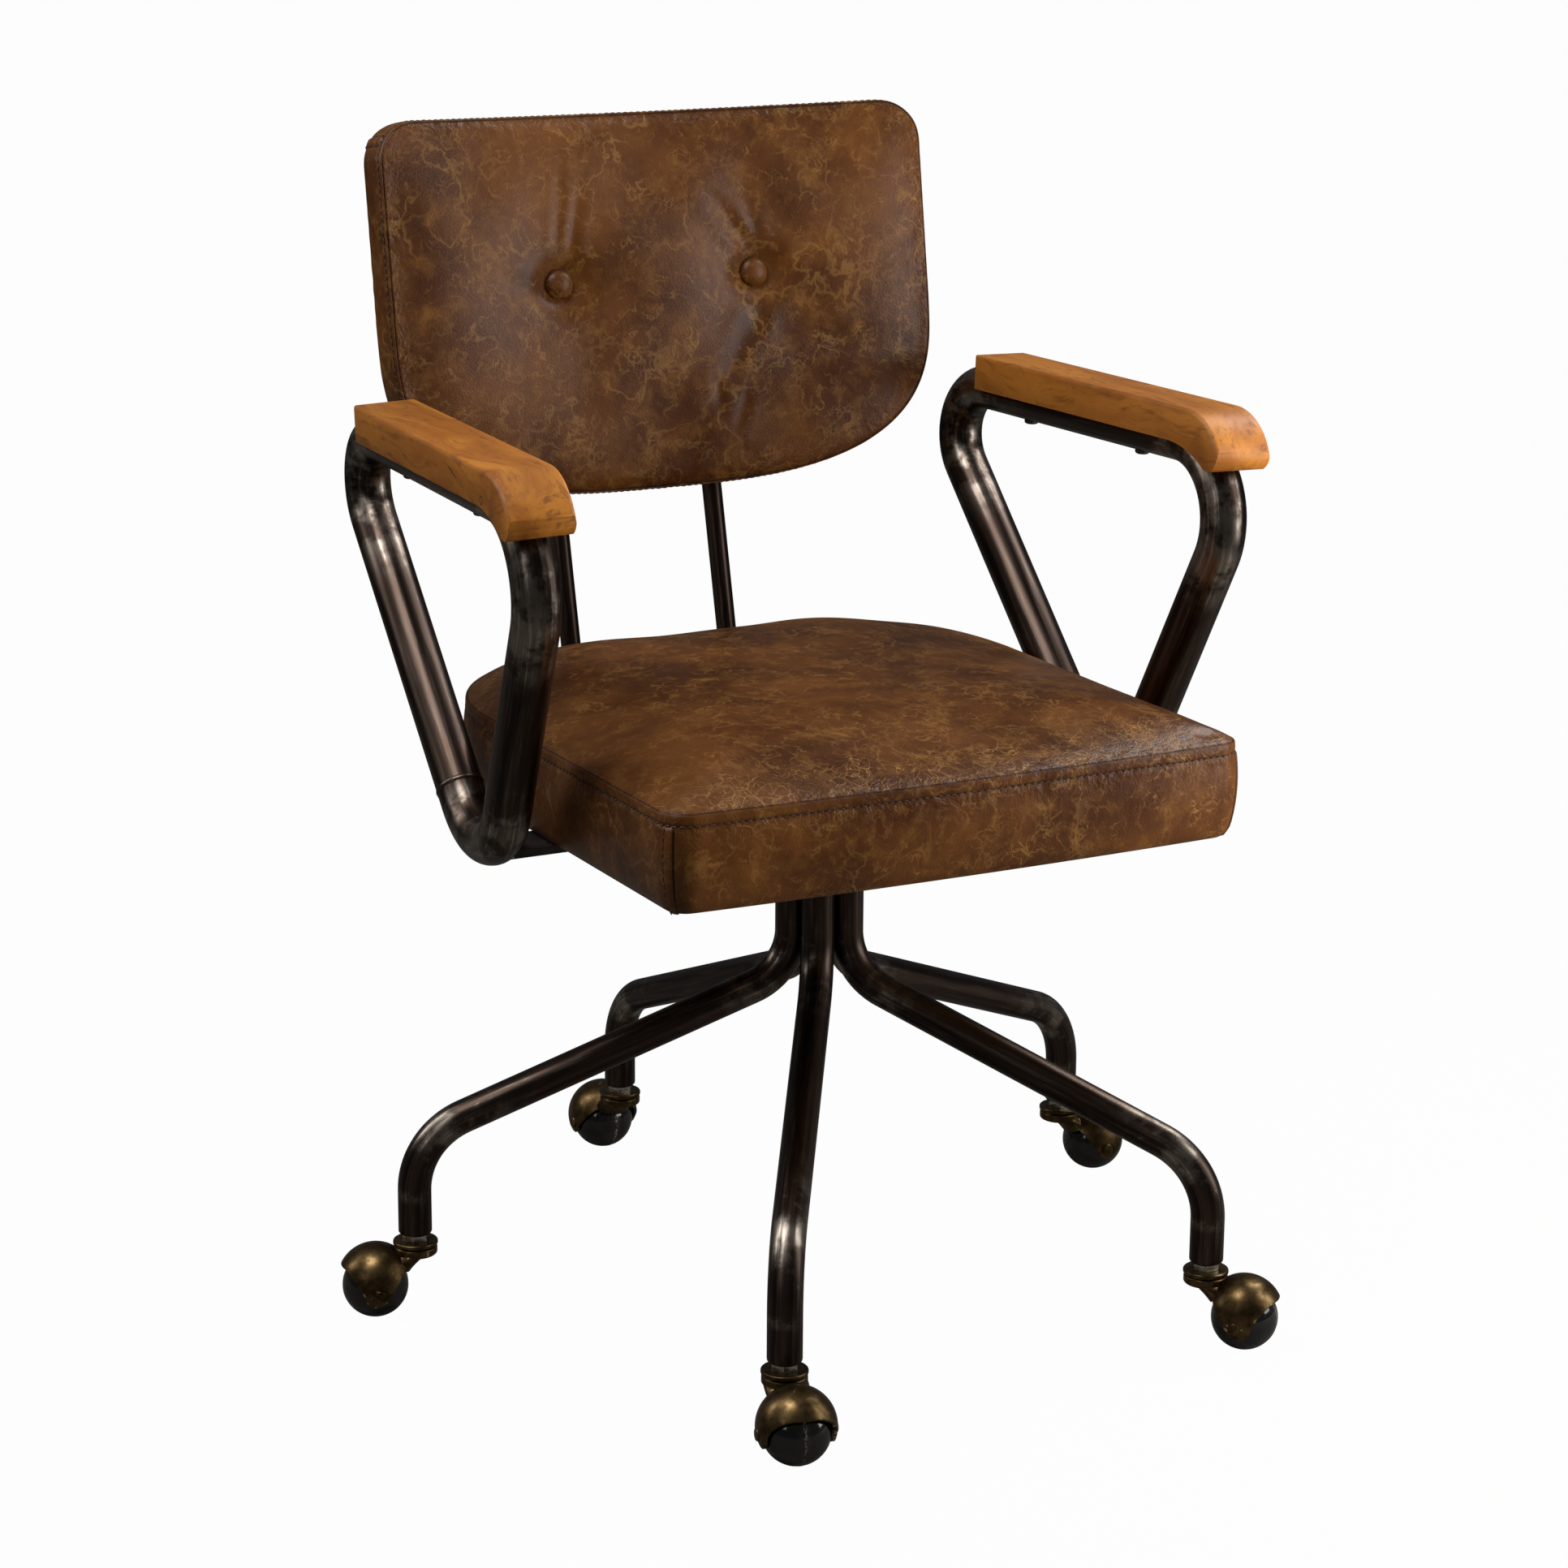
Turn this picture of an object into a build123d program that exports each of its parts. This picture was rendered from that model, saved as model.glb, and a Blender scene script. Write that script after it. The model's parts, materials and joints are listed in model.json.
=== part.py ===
from build123d import *
import math
import os

# Office chair: five bent-tube legs on ball casters, a screw-lift swivel, an upholstered
# seat and back, and two triangular tube arms with wooden pads.
# Millimetres. The chair faces -Y, +X is its right-hand side as seen from the front,
# the origin lies on the floor on the swivel axis.

# Running and seating clearances
RUN_CLEAR = 0.05
SEAT_CLEAR = 0.1
SOFT_CLEAR = 0.3

# Legs
LEG_COUNT = 5
LEG_TUBE_D = 25.4
LEG_TUBE_WALL = 1.5
LEG_SIDE_GAP = 0.3
LEG_FIRST_ANGLE = -122.3
LEG_FOOT_R = 313.0
LEG_FOOT_Z = 64.0
LEG_KNEE_Z = 139.0
LEG_NECK_Z = 253.0
LEG_TOP_Z = 336.0
LEG_KNEE_BEND = 60.0
LEG_NECK_BEND = 48.0
LEG_END_ROUND = 2.2
INSERT_LENGTH = 28.0

# Casters, each turned to the heading it has in the photograph
CASTER_HEADINGS = (-102.0, -50.0, -6.0, 93.0, 165.7)
CASTER_TRAIL = 31.0
STEM_D = 10.0
STEM_IN_LEG = 22.0
STEM_HEX_AF = 18.0
STEM_HEAD_D = 14.0
STEM_HEAD_H = 2.0
DISC_D = 34.0
DISC_T = 3.5
DISC_TOP_Z = 58.5
DISC_EDGE_ROUND = 1.2
CUP_D = 33.0
CUP_H = 6.8
CUP_GAP = 0.6
CUP_EDGE_ROUND = 1.8
WHEEL_D = 50.0
WHEEL_TREAD = 3.0
WHEEL_HUB_W = 49.0
HOOD_R = 29.0
HOOD_WALL = 2.0
HOOD_RISE = 3.5
VISOR_REACH = 24.0
VISOR_RISE = 17.0
VISOR_SLOPE = 2.0
EAR_FRONT = 11.0
EAR_REAR = 6.5
EAR_SIDE_DROP = 2.8
EAR_DROP = 9.5
EAR_SHIFT = 2.0
NAPE_REACH = 21.0
NAPE_RISE = 16.0
NECK_W = 32.0
NECK_ROOT = 11.5
NECK_BEND = (-0.6, 16.8)
NECK_CHIN = (6.2, 8.4)
POCKET_CLEAR = 1.0
AXLE_D = 5.0
RIVET_D = 9.5
RIVET_H = 1.8
RIVET_SINK = 1.2

# Hub and lift
SPINDLE_D = 14.0
SPINDLE_LOW_Z = 262.0
SLEEVE_LOW_Z = 268.0
HUB_PLATE_T = 5.0
HUB_PLATE_RIM = 2.0
WASHER_T = 2.0
WASHER_D = 40.0
NUT_H = 14.0
NUT_AF = 34.0
BOSS_D = 26.0
FLANGE_D = 76.0
FLANGE_T = 6.0

# Seat
SEAT_BASE_Z = 382.0
SEAT_SIDE_H = 73.0
SEAT_CROWN = 22.0
SEAT_HALF_W = 236.0
SEAT_FRONT_Y = -222.0
SEAT_FRONT_BOW = 5.0
SEAT_REAR_Y = 262.0
SEAT_FRONT_CORNER = 20.0
SEAT_REAR_CORNER = 165.0
SEAT_TUCK = 7.0
SEAT_CROWN_RUN = 138.0
BOARD_T = 12.0
BOARD_INSET = 22.0
PLATE_T = 6.0
PLATE_W = 200.0
PLATE_D = 170.0
PLATE_CORNER = 18.0
PLATE_SCREW_INSET = 16.0

# Arms: the loop is drawn from the point where its two legs would meet below the seat
ARM_TUBE_D = 35.0
ARM_SEAT_GAP = 29.2
ARM_FOOT_Y = 7.0
ARM_FOOT_Z = 343.4
ARM_TOE = 3.4
ARM_LEAN = 2.2
ARM_RAIL_H = 304.6
ARM_REAR_ANGLE = 44.2
ARM_FRONT_ANGLE = 26.4
ARM_REAR_BEND = 40.0
ARM_FRONT_BEND = 58.0
ARM_FOOT_BEND = 55.0
ARM_WELD_H = 66.0
PAD_REAR = 190.0
PAD_FRONT = -134.0
PAD_W = 50.0
PAD_T = 27.0
PAD_SINK = 15.5
PAD_NOSE_R = 42.0
PAD_NOSE_DROP = 16.0
PAD_LIP = 7.0
PAD_LIP_BACK = 7.0
PAD_UNDER_CURVE = 50.0
PAD_EDGE_ROUND = 3.0
PAD_SCREW_YS = (140.0, -10.0)
BRACKET_W = 44.0
BRACKET_PLATE_GAP = 12.0
BRACKET_INNER_SCREW = 23.0
BRACKET_OUTER_SCREW = 19.0

# Back
BACK_X_HALF = 232.0
BACK_MID_Y = 289.0
BACK_MID_Z = 725.0
BACK_LEAN = 9.0
BACK_TOP = 145.0
BACK_BOTTOM = -147.0
BACK_EDGE_T = 40.0
BACK_WING = 30.0
BACK_FRONT_CROWN = 16.0
BACK_REAR_CROWN = 12.0
BACK_TOP_CORNER = 30.0
BACK_LOW_RISE = 137.0
BACK_LOW_POWER = 3.0
BACK_EDGE_BULGE = 2.5
BACK_STATIONS = (0.0, 0.3, 0.55, 0.75, 0.88, 0.955, 0.99, 1.0)
BACK_BOARD_T = 10.0
BACK_BOARD_INSET = 26.0
BUTTON_X = 85.5
BUTTON_V = 16.7
BUTTON_D = 24.0
BUTTON_H = 9.0
TUFT_R = 44.0
TUFT_DEPTH = 9.0

# Back struts
STRUT_D = 16.0
STRUT_X = 70.0
STRUT_START_Y = 112.0
STRUT_CORNER_Y = 278.0
STRUT_LEAN = 13.4
STRUT_TOP_Z = 716.0
STRUT_BEND = 24.0
STRUT_BOLT_ZS = (632.0, 696.0)
SPACER_D = 14.0
BOLT_D = 6.0
BOLT_HEAD_D = 11.0
BOLT_HEAD_H = 3.0
BOLT_IN_BOARD = 8.0
BOLT_RUN = 44.0
SADDLE_YS = (135.0, 205.0)
SADDLE_L = 24.0
SADDLE_T = 3.0
SADDLE_EAR = 16.0
SCREW_D = 5.0
SCREW_HEAD_D = 10.0
SCREW_HEAD_H = 2.6
SCREW_IN_BOARD = 9.0

# Derived places
leg_r = LEG_TUBE_D / 2
leg_pitch = (LEG_TUBE_D + LEG_SIDE_GAP) / 2 / math.sin(math.pi / LEG_COUNT)
ball_r = WHEEL_D / 2
hood_mid_z = ball_r + HOOD_RISE
cup_top_z = DISC_TOP_Z - DISC_T - CUP_GAP
cup_low_z = cup_top_z - CUP_H
stem_head_top = cup_low_z - SEAT_CLEAR
stem_low_z = stem_head_top - STEM_HEAD_H
spindle_r = SPINDLE_D / 2
hub_plate_top = LEG_TOP_Z + HUB_PLATE_T
washer_top = hub_plate_top + WASHER_T
nut_low = washer_top + SEAT_CLEAR
nut_top = nut_low + NUT_H
plate_low_z = SEAT_BASE_Z - PLATE_T
seam_z = SEAT_BASE_Z + SEAT_SIDE_H
arm_r = ARM_TUBE_D / 2
arm_foot_x = SEAT_HALF_W + ARM_SEAT_GAP
bracket_inner_x = PLATE_W / 2 + BRACKET_PLATE_GAP
bracket_screw_xs = (bracket_inner_x + BRACKET_INNER_SCREW, SEAT_HALF_W - BOARD_INSET - BRACKET_OUTER_SCREW)
strut_r = STRUT_D / 2
strut_run_z = SEAT_BASE_Z - strut_r - SEAT_CLEAR

os.makedirs("parts", exist_ok=True)


def save(name, *solids):
    """Write one node, as a single solid or as a group of separate solids."""
    pieces = []
    for solid in solids:
        pieces.extend(solid.solids())
    shape = pieces[0] if len(pieces) == 1 else Compound(children=pieces)
    export_step(shape, f"parts/{name}.step")


def rod(radius, low, high, x=0.0, y=0.0):
    """Upright round bar between two heights."""
    return Pos(x, y, (low + high) / 2) * Cylinder(radius, high - low)


def bar_along(plane, radius, length):
    """Round bar that starts on a plane and runs along its normal."""
    return extrude(plane * Circle(radius), amount=length)


def bent_tube(points, bends, radius):
    """Round tube swept along straight runs joined by tangent bends."""
    path = FilletPolyline(*points, radius=bends)
    start = Plane(origin=path @ 0, z_dir=path % 0)
    return sweep(start * Circle(radius), path=path)


def domed_screw(plane, head_d, head_h, shank_d, length):
    """Screw whose head stands off a plane, with its shank running along the normal."""
    dome_r = (head_d**2 / 4 + head_h**2) / (2 * head_h)
    ball = Pos(0, 0, dome_r - head_h) * Sphere(dome_r)
    head = ball & rod(head_d, -head_h, 0)
    return plane.location * (head + rod(shank_d / 2, 0, length))


def at_foot(index, shape):
    """Move a piece from the swivel axis of a caster to the foot of its leg."""
    angle = math.radians(LEG_FIRST_ANGLE + 360 / LEG_COUNT * index)
    return Pos(LEG_FOOT_R * math.cos(angle), LEG_FOOT_R * math.sin(angle), 0) * shape


# Base legs


def leg():
    """One leg in the XZ plane: down the hub, out along the floor, down to the caster."""
    points = (
        (leg_pitch, 0, LEG_TOP_Z),
        (leg_pitch, 0, LEG_NECK_Z),
        (LEG_FOOT_R, 0, LEG_KNEE_Z),
        (LEG_FOOT_R, 0, LEG_FOOT_Z),
    )
    tube = bent_tube(points, (LEG_NECK_BEND, LEG_KNEE_BEND), leg_r)
    foot_rim = tube.edges().filter_by(GeomType.CIRCLE).sort_by(Axis.Z)[0]
    tube = fillet(foot_rim, LEG_END_ROUND)
    return tube - rod(leg_r - LEG_TUBE_WALL, LEG_FOOT_Z, LEG_FOOT_Z + INSERT_LENGTH, LEG_FOOT_R)


def leg_insert():
    """Plug in the foot of a leg, bored for the caster stem."""
    plug = rod(leg_r - LEG_TUBE_WALL - RUN_CLEAR, LEG_FOOT_Z, LEG_FOOT_Z + INSERT_LENGTH - SEAT_CLEAR)
    return plug - rod(STEM_D / 2 + RUN_CLEAR, LEG_FOOT_Z, LEG_FOOT_Z + STEM_IN_LEG + SEAT_CLEAR)


# Casters


def caster_stem():
    """Stem with its hex and the rivet head that holds the hood up."""
    hexagon = RegularPolygon(STEM_HEX_AF / 2, 6, major_radius=False)
    collar = Pos(0, 0, DISC_TOP_Z) * extrude(hexagon, amount=LEG_FOOT_Z - DISC_TOP_Z)
    head = rod(STEM_HEAD_D / 2, stem_low_z, stem_head_top)
    return rod(STEM_D / 2, stem_low_z, LEG_FOOT_Z + STEM_IN_LEG) + collar + head


def caster_disc():
    """Fixed cover disc above the swivelling cup."""
    disc = rod(DISC_D / 2, DISC_TOP_Z - DISC_T, DISC_TOP_Z)
    disc = fillet(disc.edges().filter_by(GeomType.CIRCLE), DISC_EDGE_ROUND)
    return disc - rod(STEM_D / 2 + RUN_CLEAR, DISC_TOP_Z - DISC_T, DISC_TOP_Z)


def from_ball(x, z):
    """Point in the side view of a caster, measured from the middle of its ball."""
    return (CASTER_TRAIL + x, ball_r + z)


def hood_outline():
    """Side view of the hood: visor lip in front, a tapering ear, a straight back edge."""
    far = 2 * HOOD_R
    visor = from_ball(VISOR_REACH, VISOR_RISE)
    visor_far = from_ball(far, VISOR_RISE + VISOR_SLOPE)
    brow = from_ball((VISOR_REACH + EAR_FRONT) / 2 - EAR_SHIFT, VISOR_RISE / 2 - EAR_SHIFT / 2)
    ear_front = from_ball(EAR_FRONT, -EAR_SIDE_DROP)
    ear_tip = from_ball(EAR_SHIFT, -EAR_DROP)
    ear_rear = from_ball(-EAR_REAR, -EAR_SIDE_DROP)
    nape = from_ball(-NAPE_REACH, NAPE_RISE)
    nape_far = from_ball(-far, NAPE_RISE)
    edge = Curve() + [
        Line(visor_far, visor),
        ThreePointArc(visor, brow, ear_front),
        ThreePointArc(ear_front, ear_tip, ear_rear),
        Line(ear_rear, nape),
        Line(nape, nape_far),
        Line(nape_far, from_ball(-far, far)),
        Line(from_ball(-far, far), from_ball(far, far)),
        Line(from_ball(far, far), visor_far),
    ]
    return extrude(Plane.XZ * make_face(edge), amount=HOOD_R, both=True)


def neck_ring(low, high, width):
    """Oval section of the neck between two points of its side view."""
    run = Vector(high[0] - low[0], 0, high[1] - low[1])
    middle = Vector((low[0] + high[0]) / 2, 0, (low[1] + high[1]) / 2)
    plane = Plane(origin=middle, x_dir=run, z_dir=run.cross(Vector(0, 1, 0)))
    return plane * Ellipse(run.length / 2, width / 2)


def hood_neck():
    """Cast neck that bends from under the cup into the back of the hood."""
    root_z = cup_low_z + CUP_H / 3
    root = (-NECK_ROOT, root_z)
    bend = (NECK_BEND[0], ball_r + NECK_BEND[1])
    chin = (NECK_CHIN[0], ball_r + NECK_CHIN[1])
    heart = (2 * NECK_CHIN[0], ball_r)
    return loft(
        [
            neck_ring(root, (CUP_D / 2 - POCKET_CLEAR, root_z), NECK_W),
            neck_ring(bend, (CUP_D / 2, cup_low_z + POCKET_CLEAR), NECK_W),
            neck_ring(chin, from_ball(-NAPE_REACH / 2, NAPE_REACH), NECK_W * 0.92),
            neck_ring(heart, from_ball(-NAPE_REACH / 2, NAPE_RISE / 2), NECK_W * 0.75),
        ]
    )


def caster_hood():
    """Swivelling hood: spherical helmet with two ears, neck and cup."""
    centre = Pos(CASTER_TRAIL, 0, hood_mid_z)
    cup = rod(CUP_D / 2, cup_low_z, cup_top_z)
    cup = fillet(cup.edges().filter_by(GeomType.CIRCLE), CUP_EDGE_ROUND)
    helmet = (centre * Sphere(HOOD_R)) & hood_outline()
    hood = helmet + hood_neck() + cup
    hood = hood - centre * Sphere(HOOD_R - HOOD_WALL)
    hood = hood - rod(STEM_D / 2 + RUN_CLEAR, stem_low_z, cup_top_z)
    hood = hood - rod(STEM_HEAD_D / 2 + POCKET_CLEAR, stem_low_z - POCKET_CLEAR, cup_low_z)
    axle_hole = Pos(CASTER_TRAIL, 0, ball_r) * Rot(90, 0, 0) * Cylinder(AXLE_D / 2 + RUN_CLEAR, 4 * HOOD_R)
    hood = hood - axle_hole
    for side in (-1, 1):
        face = Plane(origin=(CASTER_TRAIL, side * (HOOD_R - RIVET_SINK), ball_r), z_dir=(0, side, 0))
        hood = hood - bar_along(face, RIVET_D / 2 + SOFT_CLEAR, HOOD_R)
    return hood.solids().sort_by(SortBy.VOLUME)[-1]


def caster_axle():
    """Riveted axle through both ears."""
    seat_y = HOOD_R - RIVET_SINK
    pin = Rot(90, 0, 0) * Cylinder(AXLE_D / 2, 2 * seat_y)
    head = extrude(Plane(origin=(0, seat_y, 0), z_dir=(0, 1, 0)) * Circle(RIVET_D / 2), amount=RIVET_H)
    head = fillet(head.edges().sort_by(Axis.Y)[-1], RIVET_H * 0.7)
    return Pos(CASTER_TRAIL, 0, ball_r) * (pin + head + mirror(head, about=Plane.XZ))


def caster_wheel():
    """Ball wheel with a narrow tread land on its equator and flat hub faces."""
    half_tread = WHEEL_TREAD / 2
    half_hub = WHEEL_HUB_W / 2
    bore = AXLE_D / 2 + RUN_CLEAR
    sphere_r = math.hypot(ball_r, half_tread)
    hub_r = math.sqrt(sphere_r**2 - half_hub**2)
    middle = (half_hub + half_tread) / 2
    middle_r = math.sqrt(sphere_r**2 - middle**2)
    profile = Curve() + [
        Line((bore, -half_hub), (hub_r, -half_hub)),
        ThreePointArc((hub_r, -half_hub), (middle_r, -middle), (ball_r, -half_tread)),
        Line((ball_r, -half_tread), (ball_r, half_tread)),
        ThreePointArc((ball_r, half_tread), (middle_r, middle), (hub_r, half_hub)),
        Line((hub_r, half_hub), (bore, half_hub)),
        Line((bore, half_hub), (bore, -half_hub)),
    ]
    return Pos(CASTER_TRAIL, 0, ball_r) * revolve(make_face(profile), Axis.Y)


# Hub and lift


def hub_sleeve():
    """Guide tube in the middle of the five legs."""
    outer = leg_pitch - leg_r - SEAT_CLEAR
    return rod(outer, SLEEVE_LOW_Z, LEG_TOP_Z) - rod(spindle_r + RUN_CLEAR, SLEEVE_LOW_Z, LEG_TOP_Z)


def hub_plate():
    """Plate welded over the tops of the legs."""
    plate = rod(leg_pitch + leg_r + HUB_PLATE_RIM, LEG_TOP_Z, hub_plate_top)
    return plate - rod(spindle_r + RUN_CLEAR, LEG_TOP_Z, hub_plate_top)


def thrust_washer():
    """Washer that the lift nut turns on."""
    ring = rod(WASHER_D / 2, hub_plate_top, washer_top)
    return ring - rod(spindle_r + RUN_CLEAR, hub_plate_top, washer_top)


def lift_nut():
    """Hexagon nut that carries the spindle."""
    hexagon = RegularPolygon(NUT_AF / 2, 6, major_radius=False)
    body = Pos(0, 0, nut_low) * extrude(hexagon, amount=NUT_H)
    return body - rod(spindle_r + RUN_CLEAR, nut_low, nut_top)


def seat_spindle():
    """Lift spindle with the boss that stops on the nut and the flange under the seat plate."""
    flange_low = plate_low_z - FLANGE_T
    boss = rod(BOSS_D / 2, nut_top + SEAT_CLEAR, flange_low)
    return rod(spindle_r, SPINDLE_LOW_Z, flange_low) + boss + rod(FLANGE_D / 2, flange_low, plate_low_z)


# Seat


def seat_outline(inset, z):
    """Plan of the seat at one height, drawn in all round by an inset."""
    half = SEAT_HALF_W - inset
    front = SEAT_FRONT_Y + inset
    rear = SEAT_REAR_Y - inset
    tight = max(SEAT_FRONT_CORNER - inset * 0.2, SEAT_FRONT_CORNER / 2)
    wide = SEAT_REAR_CORNER - inset
    slant = math.sqrt(0.5)
    edge = Curve() + [
        ThreePointArc((-half + tight, front), (0, front - SEAT_FRONT_BOW), (half - tight, front)),
        ThreePointArc(
            (half - tight, front),
            (half - tight + tight * slant, front + tight - tight * slant),
            (half, front + tight),
        ),
        Line((half, front + tight), (half, rear - wide)),
        ThreePointArc(
            (half, rear - wide),
            (half - wide + wide * slant, rear - wide + wide * slant),
            (half - wide, rear),
        ),
        Line((half - wide, rear), (-half + wide, rear)),
        ThreePointArc(
            (-half + wide, rear),
            (-half + wide - wide * slant, rear - wide + wide * slant),
            (-half, rear - wide),
        ),
        Line((-half, rear - wide), (-half, front + tight)),
        ThreePointArc(
            (-half, front + tight),
            (-half + tight - tight * slant, front + tight - tight * slant),
            (-half + tight, front),
        ),
    ]
    return Pos(0, 0, z) * make_face(edge)


def seat_board():
    """Plywood board let into the underside of the cushion."""
    return extrude(seat_outline(BOARD_INSET, SEAT_BASE_Z), amount=BOARD_T)


def seat_cushion():
    """Boxed cushion: sides drawn in at seam and hem, a crowned top panel."""
    side = loft(
        [
            seat_outline(SEAT_TUCK, SEAT_BASE_Z),
            seat_outline(0, SEAT_BASE_Z + SEAT_SIDE_H * 0.45),
            seat_outline(SEAT_TUCK * 0.6, seam_z),
        ]
    )
    rings = [seat_outline(SEAT_TUCK * 0.6, seam_z)]
    for run, rise in ((0.17, 0.5), (0.54, 0.88), (1.0, 1.0)):
        rings.append(seat_outline(SEAT_TUCK + SEAT_CROWN_RUN * run, seam_z + SEAT_CROWN * rise))
    crown = loft(rings)
    pocket = extrude(seat_outline(BOARD_INSET - SOFT_CLEAR, SEAT_BASE_Z), amount=BOARD_T + SOFT_CLEAR)
    return side + crown - pocket


def plate_screw_places():
    """Corners of the seat plate where its screws go."""
    across = PLATE_W / 2 - PLATE_SCREW_INSET
    deep = PLATE_D / 2 - PLATE_SCREW_INSET
    return [(sx * across, sy * deep) for sx in (-1, 1) for sy in (-1, 1)]


def bracket_screw_places():
    """Two screws along each arm bracket."""
    return [(side * x, ARM_FOOT_Y) for side in (-1, 1) for x in bracket_screw_xs]


def saddle_screw_places():
    """One screw on each side of every strut saddle."""
    reach = strut_r + SEAT_CLEAR + SADDLE_T + SADDLE_EAR / 2
    xs = [side * STRUT_X + hand * reach for side in (-1, 1) for hand in (-1, 1)]
    return [(x, y) for x in xs for y in SADDLE_YS]


def seat_plate():
    """Steel plate between the spindle flange and the board."""
    outline = RectangleRounded(PLATE_W, PLATE_D, PLATE_CORNER)
    plate = extrude(Pos(0, 0, plate_low_z) * outline, amount=PLATE_T)
    for x, y in plate_screw_places():
        plate = plate - rod(SCREW_D / 2 + SEAT_CLEAR, plate_low_z, SEAT_BASE_Z, x, y)
    return plate


def screws_up(places, head_z):
    """Screws driven upwards into the seat board."""
    length = SEAT_BASE_Z + SCREW_IN_BOARD - head_z
    screw = domed_screw(Plane.XY, SCREW_HEAD_D, SCREW_HEAD_H, SCREW_D, length)
    return [Pos(x, y, head_z) * screw for x, y in places]


def drilled_board():
    """Seat board with the pilot holes of every screw that enters it."""
    board = seat_board()
    depth = SEAT_BASE_Z + SCREW_IN_BOARD + SEAT_CLEAR
    for x, y in plate_screw_places() + bracket_screw_places() + saddle_screw_places():
        board = board - rod(SCREW_D / 2 + SEAT_CLEAR, SEAT_BASE_Z, depth, x, y)
    return board


# Arms


def arm_frame(shape):
    """Stand the right arm up: leaned out, toed out and moved beside the seat."""
    return Pos(arm_foot_x, ARM_FOOT_Y, ARM_FOOT_Z) * Rot(0, 0, ARM_TOE) * Rot(0, ARM_LEAN, 0) * shape


rail_rear = ARM_RAIL_H * math.tan(math.radians(ARM_REAR_ANGLE))
rail_front = -ARM_RAIL_H * math.tan(math.radians(ARM_FRONT_ANGLE))


def arm_loop(radius):
    """Triangular tube loop in its own upright plane, closed by a weld on the rear leg."""
    middle = (0, (rail_rear + rail_front) / 2, ARM_RAIL_H)
    weld = (0, ARM_WELD_H * math.tan(math.radians(ARM_REAR_ANGLE)), ARM_WELD_H)
    rear_half = bent_tube((middle, (0, rail_rear, ARM_RAIL_H), weld), (ARM_REAR_BEND,), radius)
    front_half = bent_tube(
        (weld, (0, 0, 0), (0, rail_front, ARM_RAIL_H), middle), (ARM_FOOT_BEND, ARM_FRONT_BEND), radius
    )
    return rear_half + front_half


pad_low = ARM_RAIL_H + arm_r - PAD_SINK
rail_low = ARM_RAIL_H - arm_r


def pad_screw_holes(radius, top):
    """Vertical holes through the rail for the pad screws."""
    holes = [rod(radius, rail_low - 1, top, 0, y) for y in PAD_SCREW_YS]
    return holes[0] + holes[1]


def arm_tube():
    """Arm loop drilled for the pad screws."""
    loop = arm_loop(arm_r) - pad_screw_holes(SCREW_D / 2 + SEAT_CLEAR, ARM_RAIL_H + ARM_TUBE_D)
    return arm_frame(loop)


def arm_pad():
    """Wooden pad grooved over the rail, its nose turned down over the front bend."""
    top = pad_low + PAD_T
    nose_top = (PAD_FRONT + PAD_NOSE_R, top)
    nose = (PAD_FRONT, pad_low)
    tip = (PAD_FRONT + PAD_LIP_BACK, pad_low - PAD_NOSE_DROP)
    heel = (tip[0] + PAD_LIP, tip[1])
    under = (heel[0] + PAD_UNDER_CURVE, pad_low)
    edge = Curve() + [
        Line((PAD_REAR, pad_low), (PAD_REAR, top)),
        Line((PAD_REAR, top), nose_top),
        TangentArc(nose_top, nose, tangent=(-1, 0)),
        ThreePointArc(nose, (PAD_FRONT + 0.5, pad_low - PAD_NOSE_DROP * 0.55), tip),
        Line(tip, heel),
        TangentArc(under, heel, tangent=(-1, 0)),
        Line(under, (PAD_REAR, pad_low)),
    ]
    slab = extrude(Plane.YZ * make_face(edge), amount=PAD_W / 2, both=True)
    long_edges = slab.edges().filter_by(Axis.Y).group_by(Axis.Z)[-1]
    end_edges = slab.edges().filter_by(Axis.Z).group_by(Axis.Y)[-1]
    slab = fillet(long_edges + end_edges, PAD_EDGE_ROUND)
    slab = slab - arm_loop(arm_r + SEAT_CLEAR)
    slab = slab - pad_screw_holes(SCREW_D / 2 + SEAT_CLEAR, top - PAD_T * 0.12)
    return arm_frame(slab)


def pad_screws():
    """Screws up through the rail into the pad."""
    length = pad_low + PAD_T * 0.8 - rail_low
    return [
        arm_frame(domed_screw(Plane(origin=(0, y, rail_low)), SCREW_HEAD_D, SCREW_HEAD_H, SCREW_D, length))
        for y in PAD_SCREW_YS
    ]


def arm_bracket():
    """Flat bar under the seat, coped to the bottom bend of the arm."""
    length = arm_foot_x - bracket_inner_x
    middle = Pos(bracket_inner_x + length / 2, ARM_FOOT_Y, plate_low_z + PLATE_T / 2)
    bar = middle * Box(length, BRACKET_W, PLATE_T)
    bar = bar - arm_frame(arm_loop(arm_r + RUN_CLEAR))
    for x in bracket_screw_xs:
        bar = bar - rod(SCREW_D / 2 + SEAT_CLEAR, plate_low_z, SEAT_BASE_Z, x, ARM_FOOT_Y)
    return bar.solids().sort_by(SortBy.VOLUME)[-1]


# Back


def back_frame(shape):
    """Lean the back: local X across, local Y backwards, local Z up along the lean."""
    return Pos(0, BACK_MID_Y, BACK_MID_Z) * Rot(-BACK_LEAN, 0, 0) * shape


def low_sweep(share):
    """Rise of the back's rounded lower edge, from 0 in the middle to its full height at the wings."""
    return BACK_LOW_RISE * (1 - max(1 - share**BACK_LOW_POWER, 0) ** (1 / BACK_LOW_POWER))


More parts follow.
